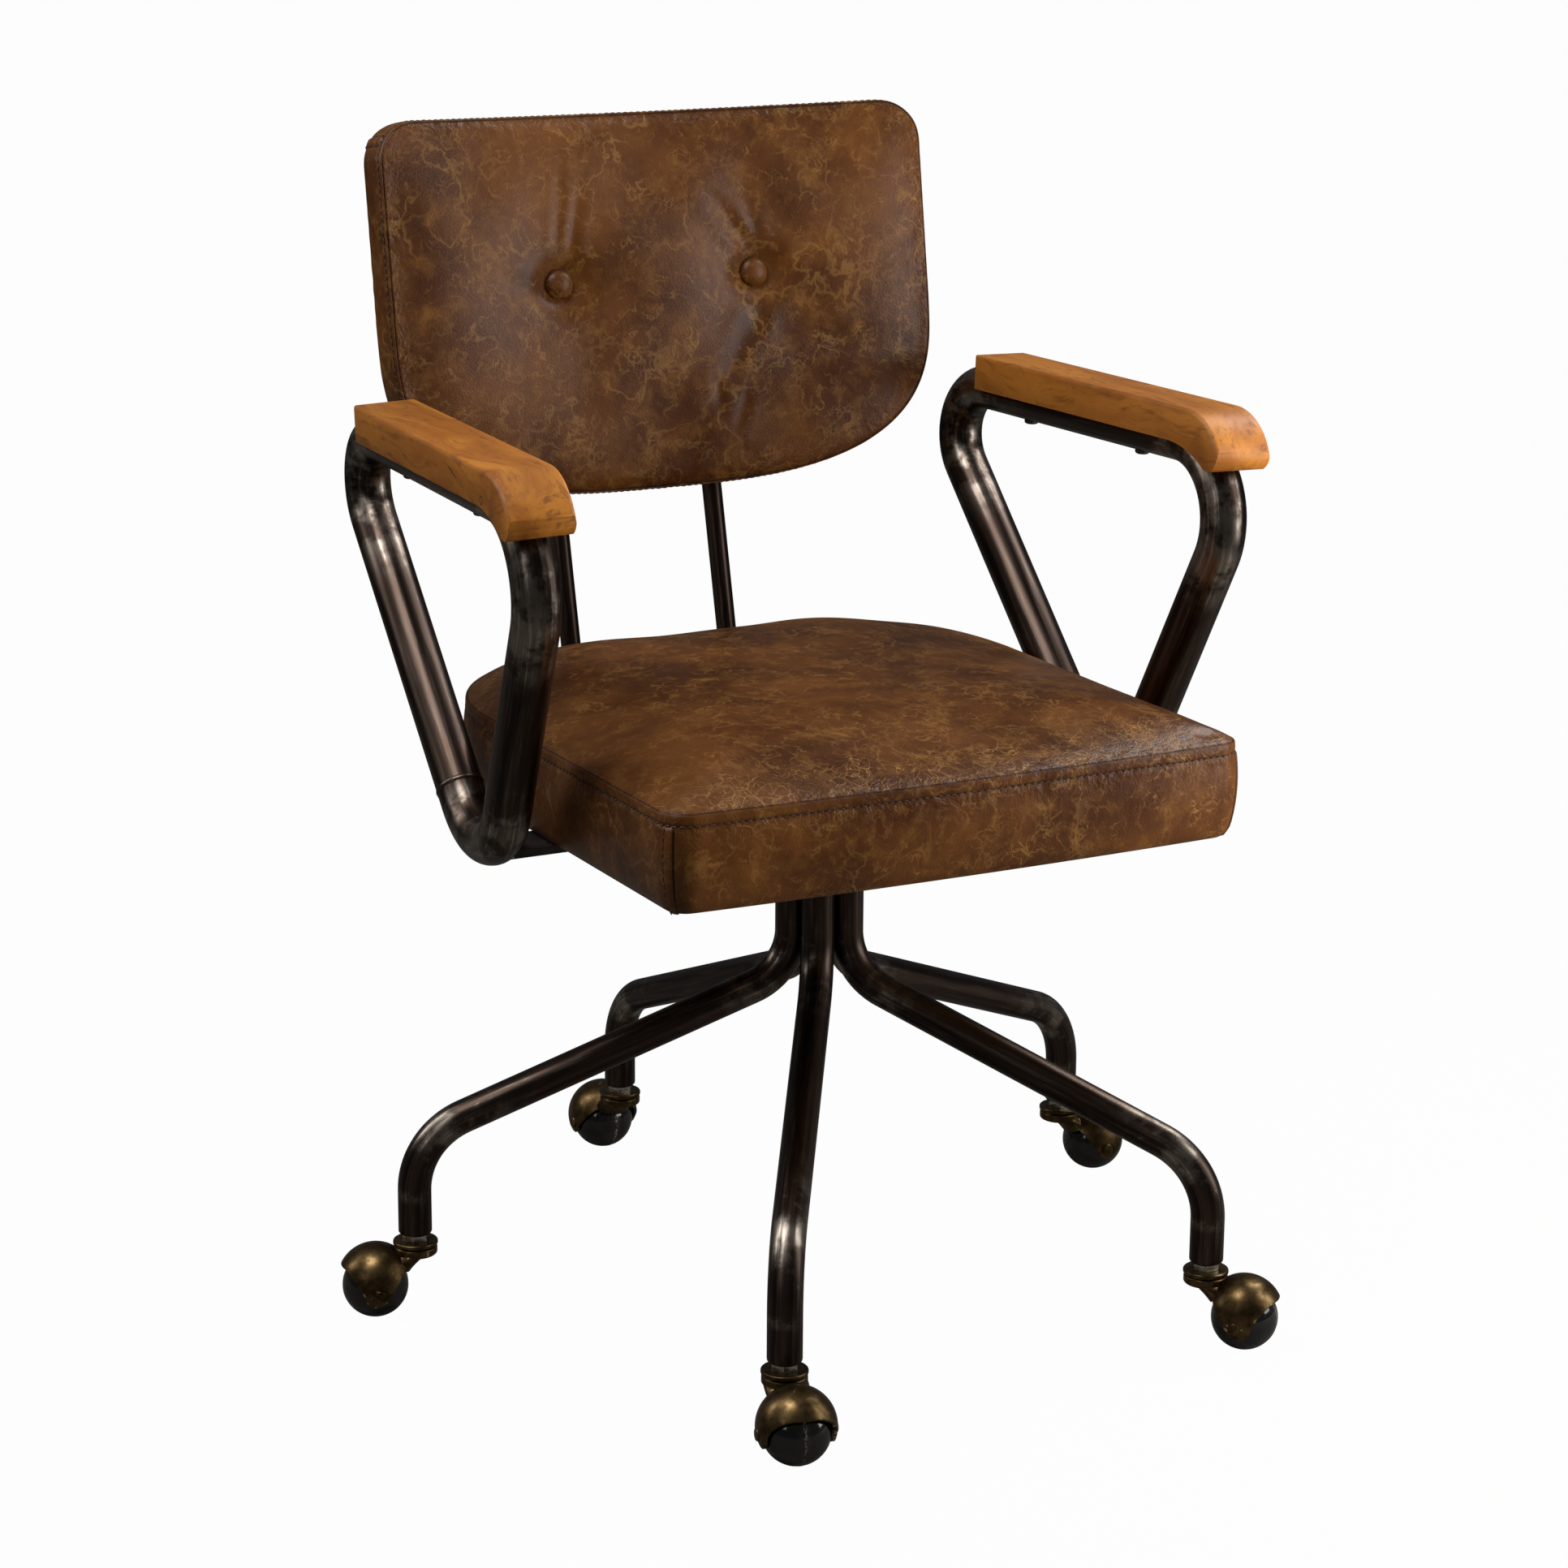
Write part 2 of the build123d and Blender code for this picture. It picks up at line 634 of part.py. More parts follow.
def back_shape(x):
    """Heights, wing offset and crowns of the back at one distance from its middle."""
    share = abs(x) / BACK_X_HALF
    top_run = BACK_X_HALF - BACK_TOP_CORNER
    past = max(abs(x) - top_run, 0) / BACK_TOP_CORNER
    top = BACK_TOP - BACK_TOP_CORNER * (1 - math.sqrt(max(1 - past**2, 0)))
    bottom = BACK_BOTTOM + low_sweep(share)
    swell = 1 - share**2
    return top, bottom, -BACK_WING * share**2, 1 + BACK_FRONT_CROWN * swell, 1 + BACK_REAR_CROWN * swell


def back_section(x):
    """Upright slice of the back: crowned front and rear panels, boxed top and bottom edges."""
    top, bottom, front, front_crown, rear_crown = back_shape(x)
    rear = front + BACK_EDGE_T
    middle = (top + bottom) / 2
    deep = (front + rear) / 2
    edge = Curve() + [
        ThreePointArc((front, bottom), (front - front_crown, middle), (front, top)),
        ThreePointArc((front, top), (deep, top + BACK_EDGE_BULGE), (rear, top)),
        ThreePointArc((rear, top), (rear + rear_crown, middle), (rear, bottom)),
        ThreePointArc((rear, bottom), (deep, bottom - BACK_EDGE_BULGE), (front, bottom)),
    ]
    return Plane(origin=(x, 0, 0), x_dir=(0, 1, 0), z_dir=(1, 0, 0)) * make_face(edge)


def back_body():
    """Whole upholstered back as one loft from wing to wing, in its own frame."""
    stations = [-s for s in reversed(BACK_STATIONS[1:])] + list(BACK_STATIONS)
    return loft([back_section(s * BACK_X_HALF) for s in stations])


def board_prism(inset):
    """Outline of the rear panel, run right through the back."""
    half = BACK_X_HALF - inset
    top = BACK_TOP - inset
    right = [(half * share, BACK_BOTTOM + inset + low_sweep(share)) for share in BACK_STATIONS]
    left = [(-x, z) for x, z in reversed(right[1:])]
    edge = Curve() + [
        Spline(*left, *right, tangents=[(0, -1), (0, 1)]),
        Line(right[-1], (half, top)),
        Line((half, top), (-half, top)),
        Line((-half, top), left[0]),
    ]
    return extrude(Plane.XZ * make_face(edge), amount=3 * BACK_EDGE_T, both=True)


back_solid = back_body()
front_part = Pos(0, -BACK_BOARD_T, 0) * back_solid


def back_board():
    """Rear panel of the back, a curved sheet flush with the boxing."""
    panel = (back_solid & board_prism(BACK_BOARD_INSET)) - front_part
    return panel.solids().sort_by(SortBy.VOLUME)[-1]


def button_front(depth):
    """Plane at a button, facing forwards, at a depth behind the crown of the front panel."""
    share = BUTTON_X / BACK_X_HALF
    crown = 1 + BACK_FRONT_CROWN * (1 - share**2)
    return -BACK_WING * share**2 - crown + depth


def tuft(side):
    """Dish that a sewn button pulls into the front panel."""
    floor_y = button_front(TUFT_DEPTH)
    profile = Curve() + [
        Line((0, floor_y), (BUTTON_D / 2 + 1, floor_y)),
        ThreePointArc(
            (BUTTON_D / 2 + 1, floor_y),
            ((BUTTON_D / 2 + TUFT_R) / 2, floor_y - TUFT_DEPTH * 0.75),
            (TUFT_R, floor_y - TUFT_DEPTH - 1),
        ),
        Line((TUFT_R, floor_y - TUFT_DEPTH - 1), (0, floor_y - TUFT_DEPTH - 1)),
        Line((0, floor_y - TUFT_DEPTH - 1), (0, floor_y)),
    ]
    return Pos(side * BUTTON_X, 0, BUTTON_V) * revolve(make_face(profile), Axis.Y)


def back_cushion():
    """Front panel, boxing and filling, with the two tufts and the pocket for the rear panel."""
    pocket = (back_solid & board_prism(BACK_BOARD_INSET - SOFT_CLEAR)) - Pos(0, -SOFT_CLEAR, 0) * front_part
    return back_frame(back_solid - pocket - tuft(-1) - tuft(1))


def back_button(side):
    """Leather-covered button sitting in its tuft."""
    floor_y = button_front(TUFT_DEPTH) - SEAT_CLEAR
    half = BUTTON_D / 2
    rim = BUTTON_H * 0.3
    rise = BUTTON_H - rim
    dome_r = (half**2 + rise**2) / (2 * rise)
    dome = Pos(0, floor_y - BUTTON_H + dome_r, 0) * Sphere(dome_r)
    post = bar_along(Plane(origin=(0, floor_y, 0), z_dir=(0, -1, 0)), half, BUTTON_H)
    return back_frame(Pos(side * BUTTON_X, 0, BUTTON_V) * (post & dome))


# Back struts


def strut_y(z):
    """Depth of a strut's centre line at a height above its bend."""
    return STRUT_CORNER_Y + (z - strut_run_z) * math.tan(math.radians(STRUT_LEAN))


def bolt_plane(side, z, behind):
    """Plane square to a strut, a distance behind its centre line, facing the back."""
    lean = math.radians(STRUT_LEAN)
    forward = Vector(0, -math.cos(lean), math.sin(lean))
    start = Vector(side * STRUT_X, strut_y(z), z) - forward * behind
    return Plane(origin=start, x_dir=(1, 0, 0), z_dir=forward)


def bolt_holes(side, radius):
    """Both bolt holes of one strut, run forward into the back."""
    holes = [bar_along(bolt_plane(side, z, STRUT_D), radius, STRUT_D + BOLT_RUN) for z in STRUT_BOLT_ZS]
    return holes[0] + holes[1]


def back_strut(side):
    """Bent tube from under the seat up behind the back."""
    points = (
        (side * STRUT_X, STRUT_START_Y, strut_run_z),
        (side * STRUT_X, STRUT_CORNER_Y, strut_run_z),
        (side * STRUT_X, strut_y(STRUT_TOP_Z), STRUT_TOP_Z),
    )
    tube = bent_tube(points, (STRUT_BEND,), strut_r)
    return tube - bolt_holes(side, BOLT_D / 2 + SEAT_CLEAR)


placed_back = back_frame(back_solid)
bolted_depth = back_frame(Pos(0, -BOLT_IN_BOARD, 0) * back_solid)


def back_spacers():
    """Short tubes that hold the back off its struts."""
    lean = math.radians(STRUT_LEAN)
    along = Vector(0, math.sin(lean), math.cos(lean))
    spacers = []
    for side in (-1, 1):
        foot = Plane(origin=(side * STRUT_X, STRUT_CORNER_Y, strut_run_z), z_dir=along)
        strut = bar_along(foot, strut_r + RUN_CLEAR, STRUT_TOP_Z)
        for z in STRUT_BOLT_ZS:
            plane = bolt_plane(side, z, 0)
            sleeve = bar_along(plane, SPACER_D / 2, BOLT_RUN)
            sleeve = sleeve - bar_along(plane, BOLT_D / 2 + SEAT_CLEAR, BOLT_RUN)
            spacers.append(sleeve - strut - placed_back)
    return spacers


def back_bolts():
    """Bolts through strut and spacer into the rear panel."""
    bolts = []
    for side in (-1, 1):
        for z in STRUT_BOLT_ZS:
            plane = bolt_plane(side, z, strut_r)
            bolt = domed_screw(plane, BOLT_HEAD_D, BOLT_HEAD_H, BOLT_D, strut_r + BOLT_RUN)
            bolts.append(bolt - bolted_depth)
    return bolts


def drilled_back_board():
    """Rear panel with the four bolt holes."""
    holes = bolt_holes(-1, BOLT_D / 2 + SEAT_CLEAR) + bolt_holes(1, BOLT_D / 2 + SEAT_CLEAR)
    return back_frame(back_board()) - holes


def strut_saddles():
    """Straps that hold the struts up against the seat board."""
    inner = strut_r + SEAT_CLEAR
    outer = inner + SADDLE_T
    rise = SEAT_BASE_Z - strut_run_z
    reach = outer + SADDLE_EAR
    strap = Circle(outer) + Pos(0, rise / 2) * Rectangle(2 * outer, rise)
    strap = strap + Pos(0, rise - SADDLE_T / 2) * Rectangle(2 * reach, SADDLE_T)
    strap = strap - Circle(inner) - Pos(0, rise / 2) * Rectangle(2 * inner, rise)
    saddles = []
    for side in (-1, 1):
        for y in SADDLE_YS:
            plane = Plane(origin=(side * STRUT_X, y, strut_run_z), x_dir=(1, 0, 0), z_dir=(0, -1, 0))
            saddle = extrude(plane * strap, amount=SADDLE_L / 2, both=True)
            saddle = saddle & Pos(0, 0, SEAT_BASE_Z - 4 * STRUT_D) * Box(
                4 * SEAT_HALF_W, 4 * SEAT_HALF_W, 4 * STRUT_D, align=(Align.CENTER, Align.CENTER, Align.MIN)
            )
            for x, hole_y in saddle_screw_places():
                saddle = saddle - rod(SCREW_D / 2 + SEAT_CLEAR, plate_low_z, SEAT_BASE_Z, x, hole_y)
            saddles.append(saddle)
    return saddles


# Write the base
for k in range(LEG_COUNT):
    save(f"base_leg_{k + 1}", Rot(0, 0, LEG_FIRST_ANGLE + 360 / LEG_COUNT * k) * leg())

save("leg_inserts", *[at_foot(k, leg_insert()) for k in range(LEG_COUNT)])
save("caster_stems", *[at_foot(k, caster_stem()) for k in range(LEG_COUNT)])
save("caster_top_discs", *[at_foot(k, caster_disc()) for k in range(LEG_COUNT)])
save("hub_sleeve", hub_sleeve())
save("hub_top_plate", hub_plate())
save("thrust_washer", thrust_washer())
save("lift_nut", lift_nut())

# Write the casters
hood = caster_hood()
axle = caster_axle()
wheel = caster_wheel()
for k in range(LEG_COUNT):
    turn = Rot(0, 0, CASTER_HEADINGS[k])
    save(f"caster_hood_{k + 1}", at_foot(k, turn * hood))
    save(f"caster_axle_{k + 1}", at_foot(k, turn * axle))
    save(f"caster_wheel_{k + 1}", at_foot(k, turn * wheel))

# Write the seat
save("seat_spindle", seat_spindle())
save("seat_plate", seat_plate())
save("seat_board", drilled_board())
save("seat_cushion", seat_cushion())
save("seat_plate_screws", *screws_up(plate_screw_places(), plate_low_z))

# Write the arms
tube = arm_tube()
pad = arm_pad()
bracket = arm_bracket()
right_screws = pad_screws()
save("arm_tube_right", tube)
save("arm_tube_left", mirror(tube, about=Plane.YZ))
save("arm_pad_right", pad)
save("arm_pad_left", mirror(pad, about=Plane.YZ))
save("arm_bracket_right", bracket)
save("arm_bracket_left", mirror(bracket, about=Plane.YZ))
save("arm_pad_screws", *right_screws, *[mirror(screw, about=Plane.YZ) for screw in right_screws])
save("bracket_screws", *screws_up(bracket_screw_places(), plate_low_z))

# Write the back
save("back_cushion", back_cushion())
save("back_board", drilled_back_board())
save("back_button_right", back_button(1))
save("back_button_left", back_button(-1))
save("back_strut_right", back_strut(1))
save("back_strut_left", back_strut(-1))
save("back_spacers", *back_spacers())
save("back_bolts", *back_bolts())
save("strut_saddles", *strut_saddles())
save("saddle_screws", *screws_up(saddle_screw_places(), SEAT_BASE_Z - SADDLE_T))
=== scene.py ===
"""Office chair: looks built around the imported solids, in metres, in the same frame."""

import json
import math

import bmesh
import bpy
import numpy as np
from mathutils import Matrix, Vector

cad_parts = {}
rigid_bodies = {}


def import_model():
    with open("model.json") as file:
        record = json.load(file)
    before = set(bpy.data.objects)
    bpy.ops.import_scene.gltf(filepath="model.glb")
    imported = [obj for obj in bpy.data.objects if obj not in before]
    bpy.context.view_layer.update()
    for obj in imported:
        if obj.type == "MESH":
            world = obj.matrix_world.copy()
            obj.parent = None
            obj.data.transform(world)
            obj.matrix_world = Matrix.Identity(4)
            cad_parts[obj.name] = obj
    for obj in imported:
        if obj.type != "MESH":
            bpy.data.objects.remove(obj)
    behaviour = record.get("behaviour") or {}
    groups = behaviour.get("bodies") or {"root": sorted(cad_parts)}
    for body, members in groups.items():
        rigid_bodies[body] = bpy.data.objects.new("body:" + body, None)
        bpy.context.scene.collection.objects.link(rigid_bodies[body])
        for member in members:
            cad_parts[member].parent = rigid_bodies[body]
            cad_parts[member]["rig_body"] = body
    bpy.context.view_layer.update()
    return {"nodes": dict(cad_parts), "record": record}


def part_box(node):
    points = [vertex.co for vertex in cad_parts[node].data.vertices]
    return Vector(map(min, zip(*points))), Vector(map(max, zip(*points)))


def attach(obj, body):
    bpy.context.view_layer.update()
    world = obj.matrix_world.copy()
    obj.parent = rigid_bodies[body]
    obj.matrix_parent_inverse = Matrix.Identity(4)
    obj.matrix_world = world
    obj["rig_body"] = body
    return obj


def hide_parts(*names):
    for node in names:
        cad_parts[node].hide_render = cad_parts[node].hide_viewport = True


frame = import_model()
MM = 0.001

# Sizes shared with the solids
LEG_R = 12.7 * MM
LEG_PITCH = 21.862 * MM
LEG_FIRST_ANGLE = -122.3
LEG_FOOT_R = 313 * MM
LEG_FOOT_Z = 64 * MM
LEG_KNEE_Z = 139 * MM
LEG_NECK_Z = 253 * MM
LEG_TOP_Z = 336 * MM
LEG_KNEE_BEND = 60 * MM
LEG_NECK_BEND = 48 * MM
LEG_END_ROUND = 2.2 * MM
ARM_R = 17.5 * MM
ARM_FOOT = (265.2 * MM, 7 * MM, 343.4 * MM)
ARM_TOE = 3.4
ARM_LEAN = 2.2
ARM_RAIL_H = 304.6 * MM
ARM_REAR_ANGLE = 44.2
ARM_FRONT_ANGLE = 26.4
ARM_REAR_BEND = 40 * MM
ARM_FRONT_BEND = 58 * MM
ARM_FOOT_BEND = 55 * MM
ARM_WELD_H = 66 * MM
STRUT_R = 8 * MM
STRUT_X = 70 * MM
STRUT_START_Y = 112 * MM
STRUT_CORNER_Y = 278 * MM
STRUT_RUN_Z = 373.9 * MM
STRUT_LEAN = 13.4
STRUT_TOP_Z = 716 * MM
STRUT_BEND = 24 * MM
SPINDLE_R = 7 * MM
SPINDLE_LOW_Z = 262 * MM
BOSS_R = 13 * MM
SEAT_HALF_W = 236 * MM
SEAT_FRONT_Y = -222 * MM
SEAT_FRONT_BOW = 5 * MM
SEAT_REAR_Y = 262 * MM
SEAT_FRONT_CORNER = 20 * MM
SEAT_REAR_CORNER = 165 * MM
SEAT_BASE_Z = 382 * MM
SEAT_SEAM_Z = 455 * MM
SEAT_CROWN = 22 * MM
SEAT_CROWN_RUN = 38 * MM
SEAT_SEAM_INSET = 4.2 * MM
SEAT_HEM_INSET = 7 * MM
BOARD_INSET = 22 * MM
BOARD_T = 12 * MM
BACK_HALF_W = 232 * MM
BACK_MID = (0, 289 * MM, 725 * MM)
BACK_LEAN = math.radians(9.0)
BACK_TOP = 145 * MM
BACK_BOTTOM = -147 * MM
BACK_TOP_CORNER = 30 * MM
BACK_LOW_RISE = 137 * MM
BACK_EDGE_T = 40 * MM
BACK_WING = 30 * MM
BACK_FRONT_CROWN = 16 * MM
BACK_REAR_CROWN = 12 * MM
BACK_BOARD_INSET = 26 * MM
BUTTON_X = 85.5 * MM
BUTTON_V = 16.7 * MM
BUTTON_H = 9 * MM
STITCH_PITCH = 5.5 * MM
HANDS = ((-1, "left"), (1, "right"))

# Padding: share of the cushion that is filled, rounds of easing after the simulation
PAD_FILL = 0.8
EASING_ROUNDS = 28

# Seat: where its hide flexes behind the front edge, and the small dents at the front corners
SEAT_FLEX_START = 6 * MM
SEAT_FLEX_RUN = 52 * MM
SEAT_DENT_X = 208 * MM
SEAT_DENT_Y = 16 * MM
SEAT_DENT_SIZE = (11 * MM, 4.5 * MM)
SEAT_DENT_DEPTH = 2.2 * MM

# Back: how deep the buttons draw the panel in, and how far round them
BUTTON_DENT_DEPTH = 10.5 * MM
BUTTON_DENT_RUN = 20 * MM
BACK_FLEX = 0.1

# Rings of the cushions' boxing, counted from the panel's rim: stitched ones, upright seams, swelling ones
SEAT_STITCH_RING = 7
SEAT_SEAM_RINGS = slice(8, 22)
SEAT_SWELL_RINGS = slice(9, 19)
BACK_STITCH_RING = 6
BACK_SEAM_RINGS = slice(7, 16)
BACK_REAR_STITCH_RING = 19

# Camera of the photograph: place, turn in degrees (yaw, pitch, roll) and lens
CAMERA_PLACE = (-1.3912, -2.579, 1.1915)
CAMERA_TURN = (27.798, 15.164, -0.411)
CAMERA_LENS = 92.65
FLOOR_HALF = 30

# Near arm pad: middle of the knot, how it parts the grain (m2), middle of the oval ring, ends of the crack
KNOT = (-308.4 * MM, -89.1 * MM, 665.9 * MM)
KNOT_PUSH = 0.00016
KNOT_CORE = 0.00004
OVAL = (-307.0 * MM, -74.1 * MM, 653.9 * MM)
CRACK = ((-303.7 * MM, -9.9 * MM, 666.1 * MM), (-304.3 * MM, -24.1 * MM, 660.7 * MM))

# Folds of the back's front panel, drawn to the buttons: ends across and up the back, depth and half width
FOLDS = (
    ((-78, 36), (-63, 98), 2.3, 4.6),
    ((-88, 42), (-79, 117), 1.5, 4.2),
    ((80, 35), (40, 88), 2.4, 6.0),
    ((88, 38), (75, 92), 1.2, 5.0),
    ((83, -12), (24, -106), 1.5, 8.0),
    ((86, -16), (79, -46), 1.2, 6.0),
    ((43, -66), (46, -100), 1.6, 4.0),
    ((69, -80), (56, -114), 1.5, 4.4),
    ((-98, 12), (-146, 20), 1.2, 7.0),
    ((140, -44), (214, -38), 1.5, 11.0),
)


# Materials; many of their nodes share these settings
EASED = {"interpolation_type": "SMOOTHSTEP"}
RGBA = {"data_type": "RGBA"}


def linear(code):
    """Linear colour of an sRGB hex value."""
    values = [int(code[i : i + 2], 16) / 255 for i in (0, 2, 4)]
    return [v / 12.92 if v <= 0.04045 else ((v + 0.055) / 1.055) ** 2.4 for v in values] + [1.0]


def put(tree, kind, inputs=None, out=None, **settings):
    """Add a node, set its properties, set or link its inputs; gives the node, or the output asked for."""
    made = tree.nodes.new(kind)
    for key, value in settings.items():
        setattr(made, key, value)
    for key, value in (inputs or {}).items():
        if isinstance(value, bpy.types.NodeSocket):
            tree.links.new(value, made.inputs[key])
        else:
            made.inputs[key].default_value = value
    return made if out is None else made.outputs[out]


def new_material(name):
    """Empty material with its shader and output; returns the material, its tree and the shader."""
    made = bpy.data.materials.new(name)
    made.use_nodes = True
    tree = made.node_tree
    return made, tree, tree.nodes["Principled BSDF"]


def hide_material():
    """Waxed pull-up cowhide, tumbled: hairline cracks of bare tan, an uneven wax sheen, painted shade in
    seams and folds.
    """
    made, tree, shader = new_material("waxed_cowhide")
    place = put(tree, "ShaderNodeTexCoord", None, "Object")
    seam = put(tree, "ShaderNodeAttribute", None, "Fac", attribute_name="seam_near")
    crease = put(tree, "ShaderNodeAttribute", None, "Fac", attribute_name="crease")
    craze = put(tree, "ShaderNodeAttribute", None, "Fac", attribute_name="craze")
    shift = put(
        tree,
        "ShaderNodeTexNoise",
        {"Vector": place, "Scale": 24.0, "Detail": 4.0, "Roughness": 0.55},
        "Color",
    )
    shift = put(tree, "ShaderNodeVectorMath", {0: shift, 1: (0.5, 0.5, 0.5)}, 0, operation="SUBTRACT")
    shift = put(tree, "ShaderNodeVectorMath", {0: shift, "Scale": 0.03}, 0, operation="SCALE")
    wander = put(tree, "ShaderNodeVectorMath", {0: place, 1: shift}, 0, operation="ADD")
    # Hide tone changes over about 120 mm, wax clouds over about 25 mm
    tone = put(
        tree, "ShaderNodeTexNoise", {"Vector": place, "Scale": 8.0, "Detail": 5.0, "Roughness": 0.6}, "Fac"
    )
    cloud = put(
        tree, "ShaderNodeTexNoise", {"Vector": wander, "Scale": 40.0, "Detail": 6.0, "Roughness": 0.7}, "Fac"
    )
    share = put(tree, "ShaderNodeMapRange", {0: tone, 1: 0.36, 2: 0.66}, 0, **EASED)
    colour = put(tree, "ShaderNodeMix", {0: share, 6: linear("3c1f0b"), 7: linear("5e3716")}, 2, **RGBA)
    share = put(tree, "ShaderNodeMapRange", {0: cloud, 1: 0.46, 2: 0.8, 4: 0.6}, 0, **EASED)
    colour = put(tree, "ShaderNodeMix", {0: share, 6: colour, 7: linear("7b5122")}, 2, **RGBA)
    # Pale veins wander over 15 to 70 mm and fray out
    veins = ((0.0, 15.0, 0.016, 0.28), (3.1, 31.0, 0.02, 0.32), (6.4, 64.0, 0.026, 0.28))
    lines = None
    for seed, per_m, half, strength in veins:
        vein = put(
            tree,
            "ShaderNodeTexNoise",
            {"Vector": wander, "W": seed, "Scale": per_m, "Detail": 4.0, "Roughness": 0.52},
            "Fac",
            noise_dimensions="4D",
        )
        vein = put(tree, "ShaderNodeMath", {0: vein, 1: 0.5}, 0, operation="SUBTRACT")
        vein = put(tree, "ShaderNodeMath", {0: vein}, 0, operation="ABSOLUTE")
        vein = put(tree, "ShaderNodeMapRange", {0: vein, 1: half, 2: 0.0, 4: strength}, 0)
        patch = put(
            tree,
            "ShaderNodeTexNoise",
            {"Vector": place, "W": seed + 1.3, "Scale": per_m * 0.8, "Detail": 4.0, "Roughness": 0.6},
            "Fac",
            noise_dimensions="4D",
        )
        patch = put(tree, "ShaderNodeMapRange", {0: patch, 1: 0.42, 2: 0.66}, 0, **EASED)
        vein = put(tree, "ShaderNodeMath", {0: vein, 1: patch}, 0, operation="MULTIPLY")
        if lines is not None:
            vein = put(tree, "ShaderNodeMath", {0: lines, 1: vein}, 0, operation="MAXIMUM")
        lines = vein
    # Cracks run in nets of about 15 and 8 mm where the hide flexes, their lines frayed over 7 mm
    jitter = put(tree, "ShaderNodeTexNoise", {"Vector": place, "Scale": 150.0, "Detail": 3.0}, "Color")
    jitter = put(tree, "ShaderNodeVectorMath", {0: jitter, 1: (0.5, 0.5, 0.5)}, 0, operation="SUBTRACT")
    jitter = put(tree, "ShaderNodeVectorMath", {0: jitter, "Scale": 0.005}, 0, operation="SCALE")
    frayed = put(tree, "ShaderNodeVectorMath", {0: wander, 1: jitter}, 0, operation="ADD")
    for seed, nets_per_m, half_mm, strength in ((7.7, 66.0, 0.45, 0.6), (1.9, 125.0, 0.36, 0.7)):
        line = put(
            tree,
            "ShaderNodeTexVoronoi",
            {"Vector": frayed, "Scale": nets_per_m},
            "Distance",
            feature="DISTANCE_TO_EDGE",
        )
        line = put(tree, "ShaderNodeMapRange", {0: line, 1: half_mm * MM * nets_per_m, 2: 0.0}, 0)
        patch = put(
            tree,
            "ShaderNodeTexNoise",
            {"Vector": wander, "W": seed, "Scale": nets_per_m * 0.35, "Detail": 4.0, "Roughness": 0.65},
            "Fac",
            noise_dimensions="4D",
        )
        patch = put(tree, "ShaderNodeMath", {0: craze, 1: 0.17, 2: patch}, 0, operation="MULTIPLY_ADD")
        patch = put(tree, "ShaderNodeMapRange", {0: patch, 1: 0.57, 2: 0.78, 4: strength}, 0, **EASED)
        line = put(tree, "ShaderNodeMath", {0: line, 1: patch}, 0, operation="MULTIPLY")
        lines = put(tree, "ShaderNodeMath", {0: lines, 1: line}, 0, operation="MAXIMUM")
    colour = put(tree, "ShaderNodeMix", {0: lines, 6: colour, 7: linear("a87c44")}, 2, **RGBA)
    # Painted shade: seams, folds, stitch dents and tucked edges are darkened towards near-black by their
    # crease shade value
    painted_seam_shade = put(tree, "ShaderNodeMath", {0: crease, 1: 0.85}, 0, operation="MULTIPLY")
    colour = put(tree, "ShaderNodeMix", {0: painted_seam_shade, 6: colour, 7: linear("170b05")}, 2, **RGBA)
    tree.links.new(colour, shader.inputs["Base Color"])
    # Pores are 0.4 mm on a hide and drawn at 1.8 mm so that they show
    pores = put(tree, "ShaderNodeTexVoronoi", {"Vector": place, "Scale": 560.0}, "Distance", feature="F1")
    grain = put(tree, "ShaderNodeTexNoise", {"Vector": place, "Scale": 900.0, "Detail": 3.0}, "Fac")
    height = put(tree, "ShaderNodeMath", {0: grain, 1: 0.35, 2: pores}, 0, operation="MULTIPLY_ADD")
    height = put(tree, "ShaderNodeMath", {0: lines, 1: -1.2, 2: height}, 0, operation="MULTIPLY_ADD")
    bump = put(tree, "ShaderNodeBump", {"Height": height, "Strength": 0.14, "Distance": 0.0008}, 0)
    wrinkle = put(
        tree,
        "ShaderNodeTexNoise",
        {"Vector": wander, "Scale": 120.0, "Detail": 3.0, "Roughness": 0.55},
        "Fac",
    )
    wrinkle = put(tree, "ShaderNodeMath", {0: wrinkle, 1: seam}, 0, operation="MULTIPLY")
    bump = put(
        tree, "ShaderNodeBump", {"Height": wrinkle, "Strength": 0.5, "Distance": 0.0035, "Normal": bump}, 0
    )
    tree.links.new(bump, shader.inputs["Normal"])
    rough = put(tree, "ShaderNodeMapRange", {0: tone, 1: 0.3, 2: 0.7, 3: 0.31, 4: 0.42}, 0)
    rough = put(tree, "ShaderNodeMath", {0: lines, 1: 0.14, 2: rough}, 0, operation="MULTIPLY_ADD")
    tree.links.new(rough, shader.inputs["Roughness"])
    shader.inputs["IOR"].default_value = 1.5
    shader.inputs["Specular IOR Level"].default_value = 0.25
    return made


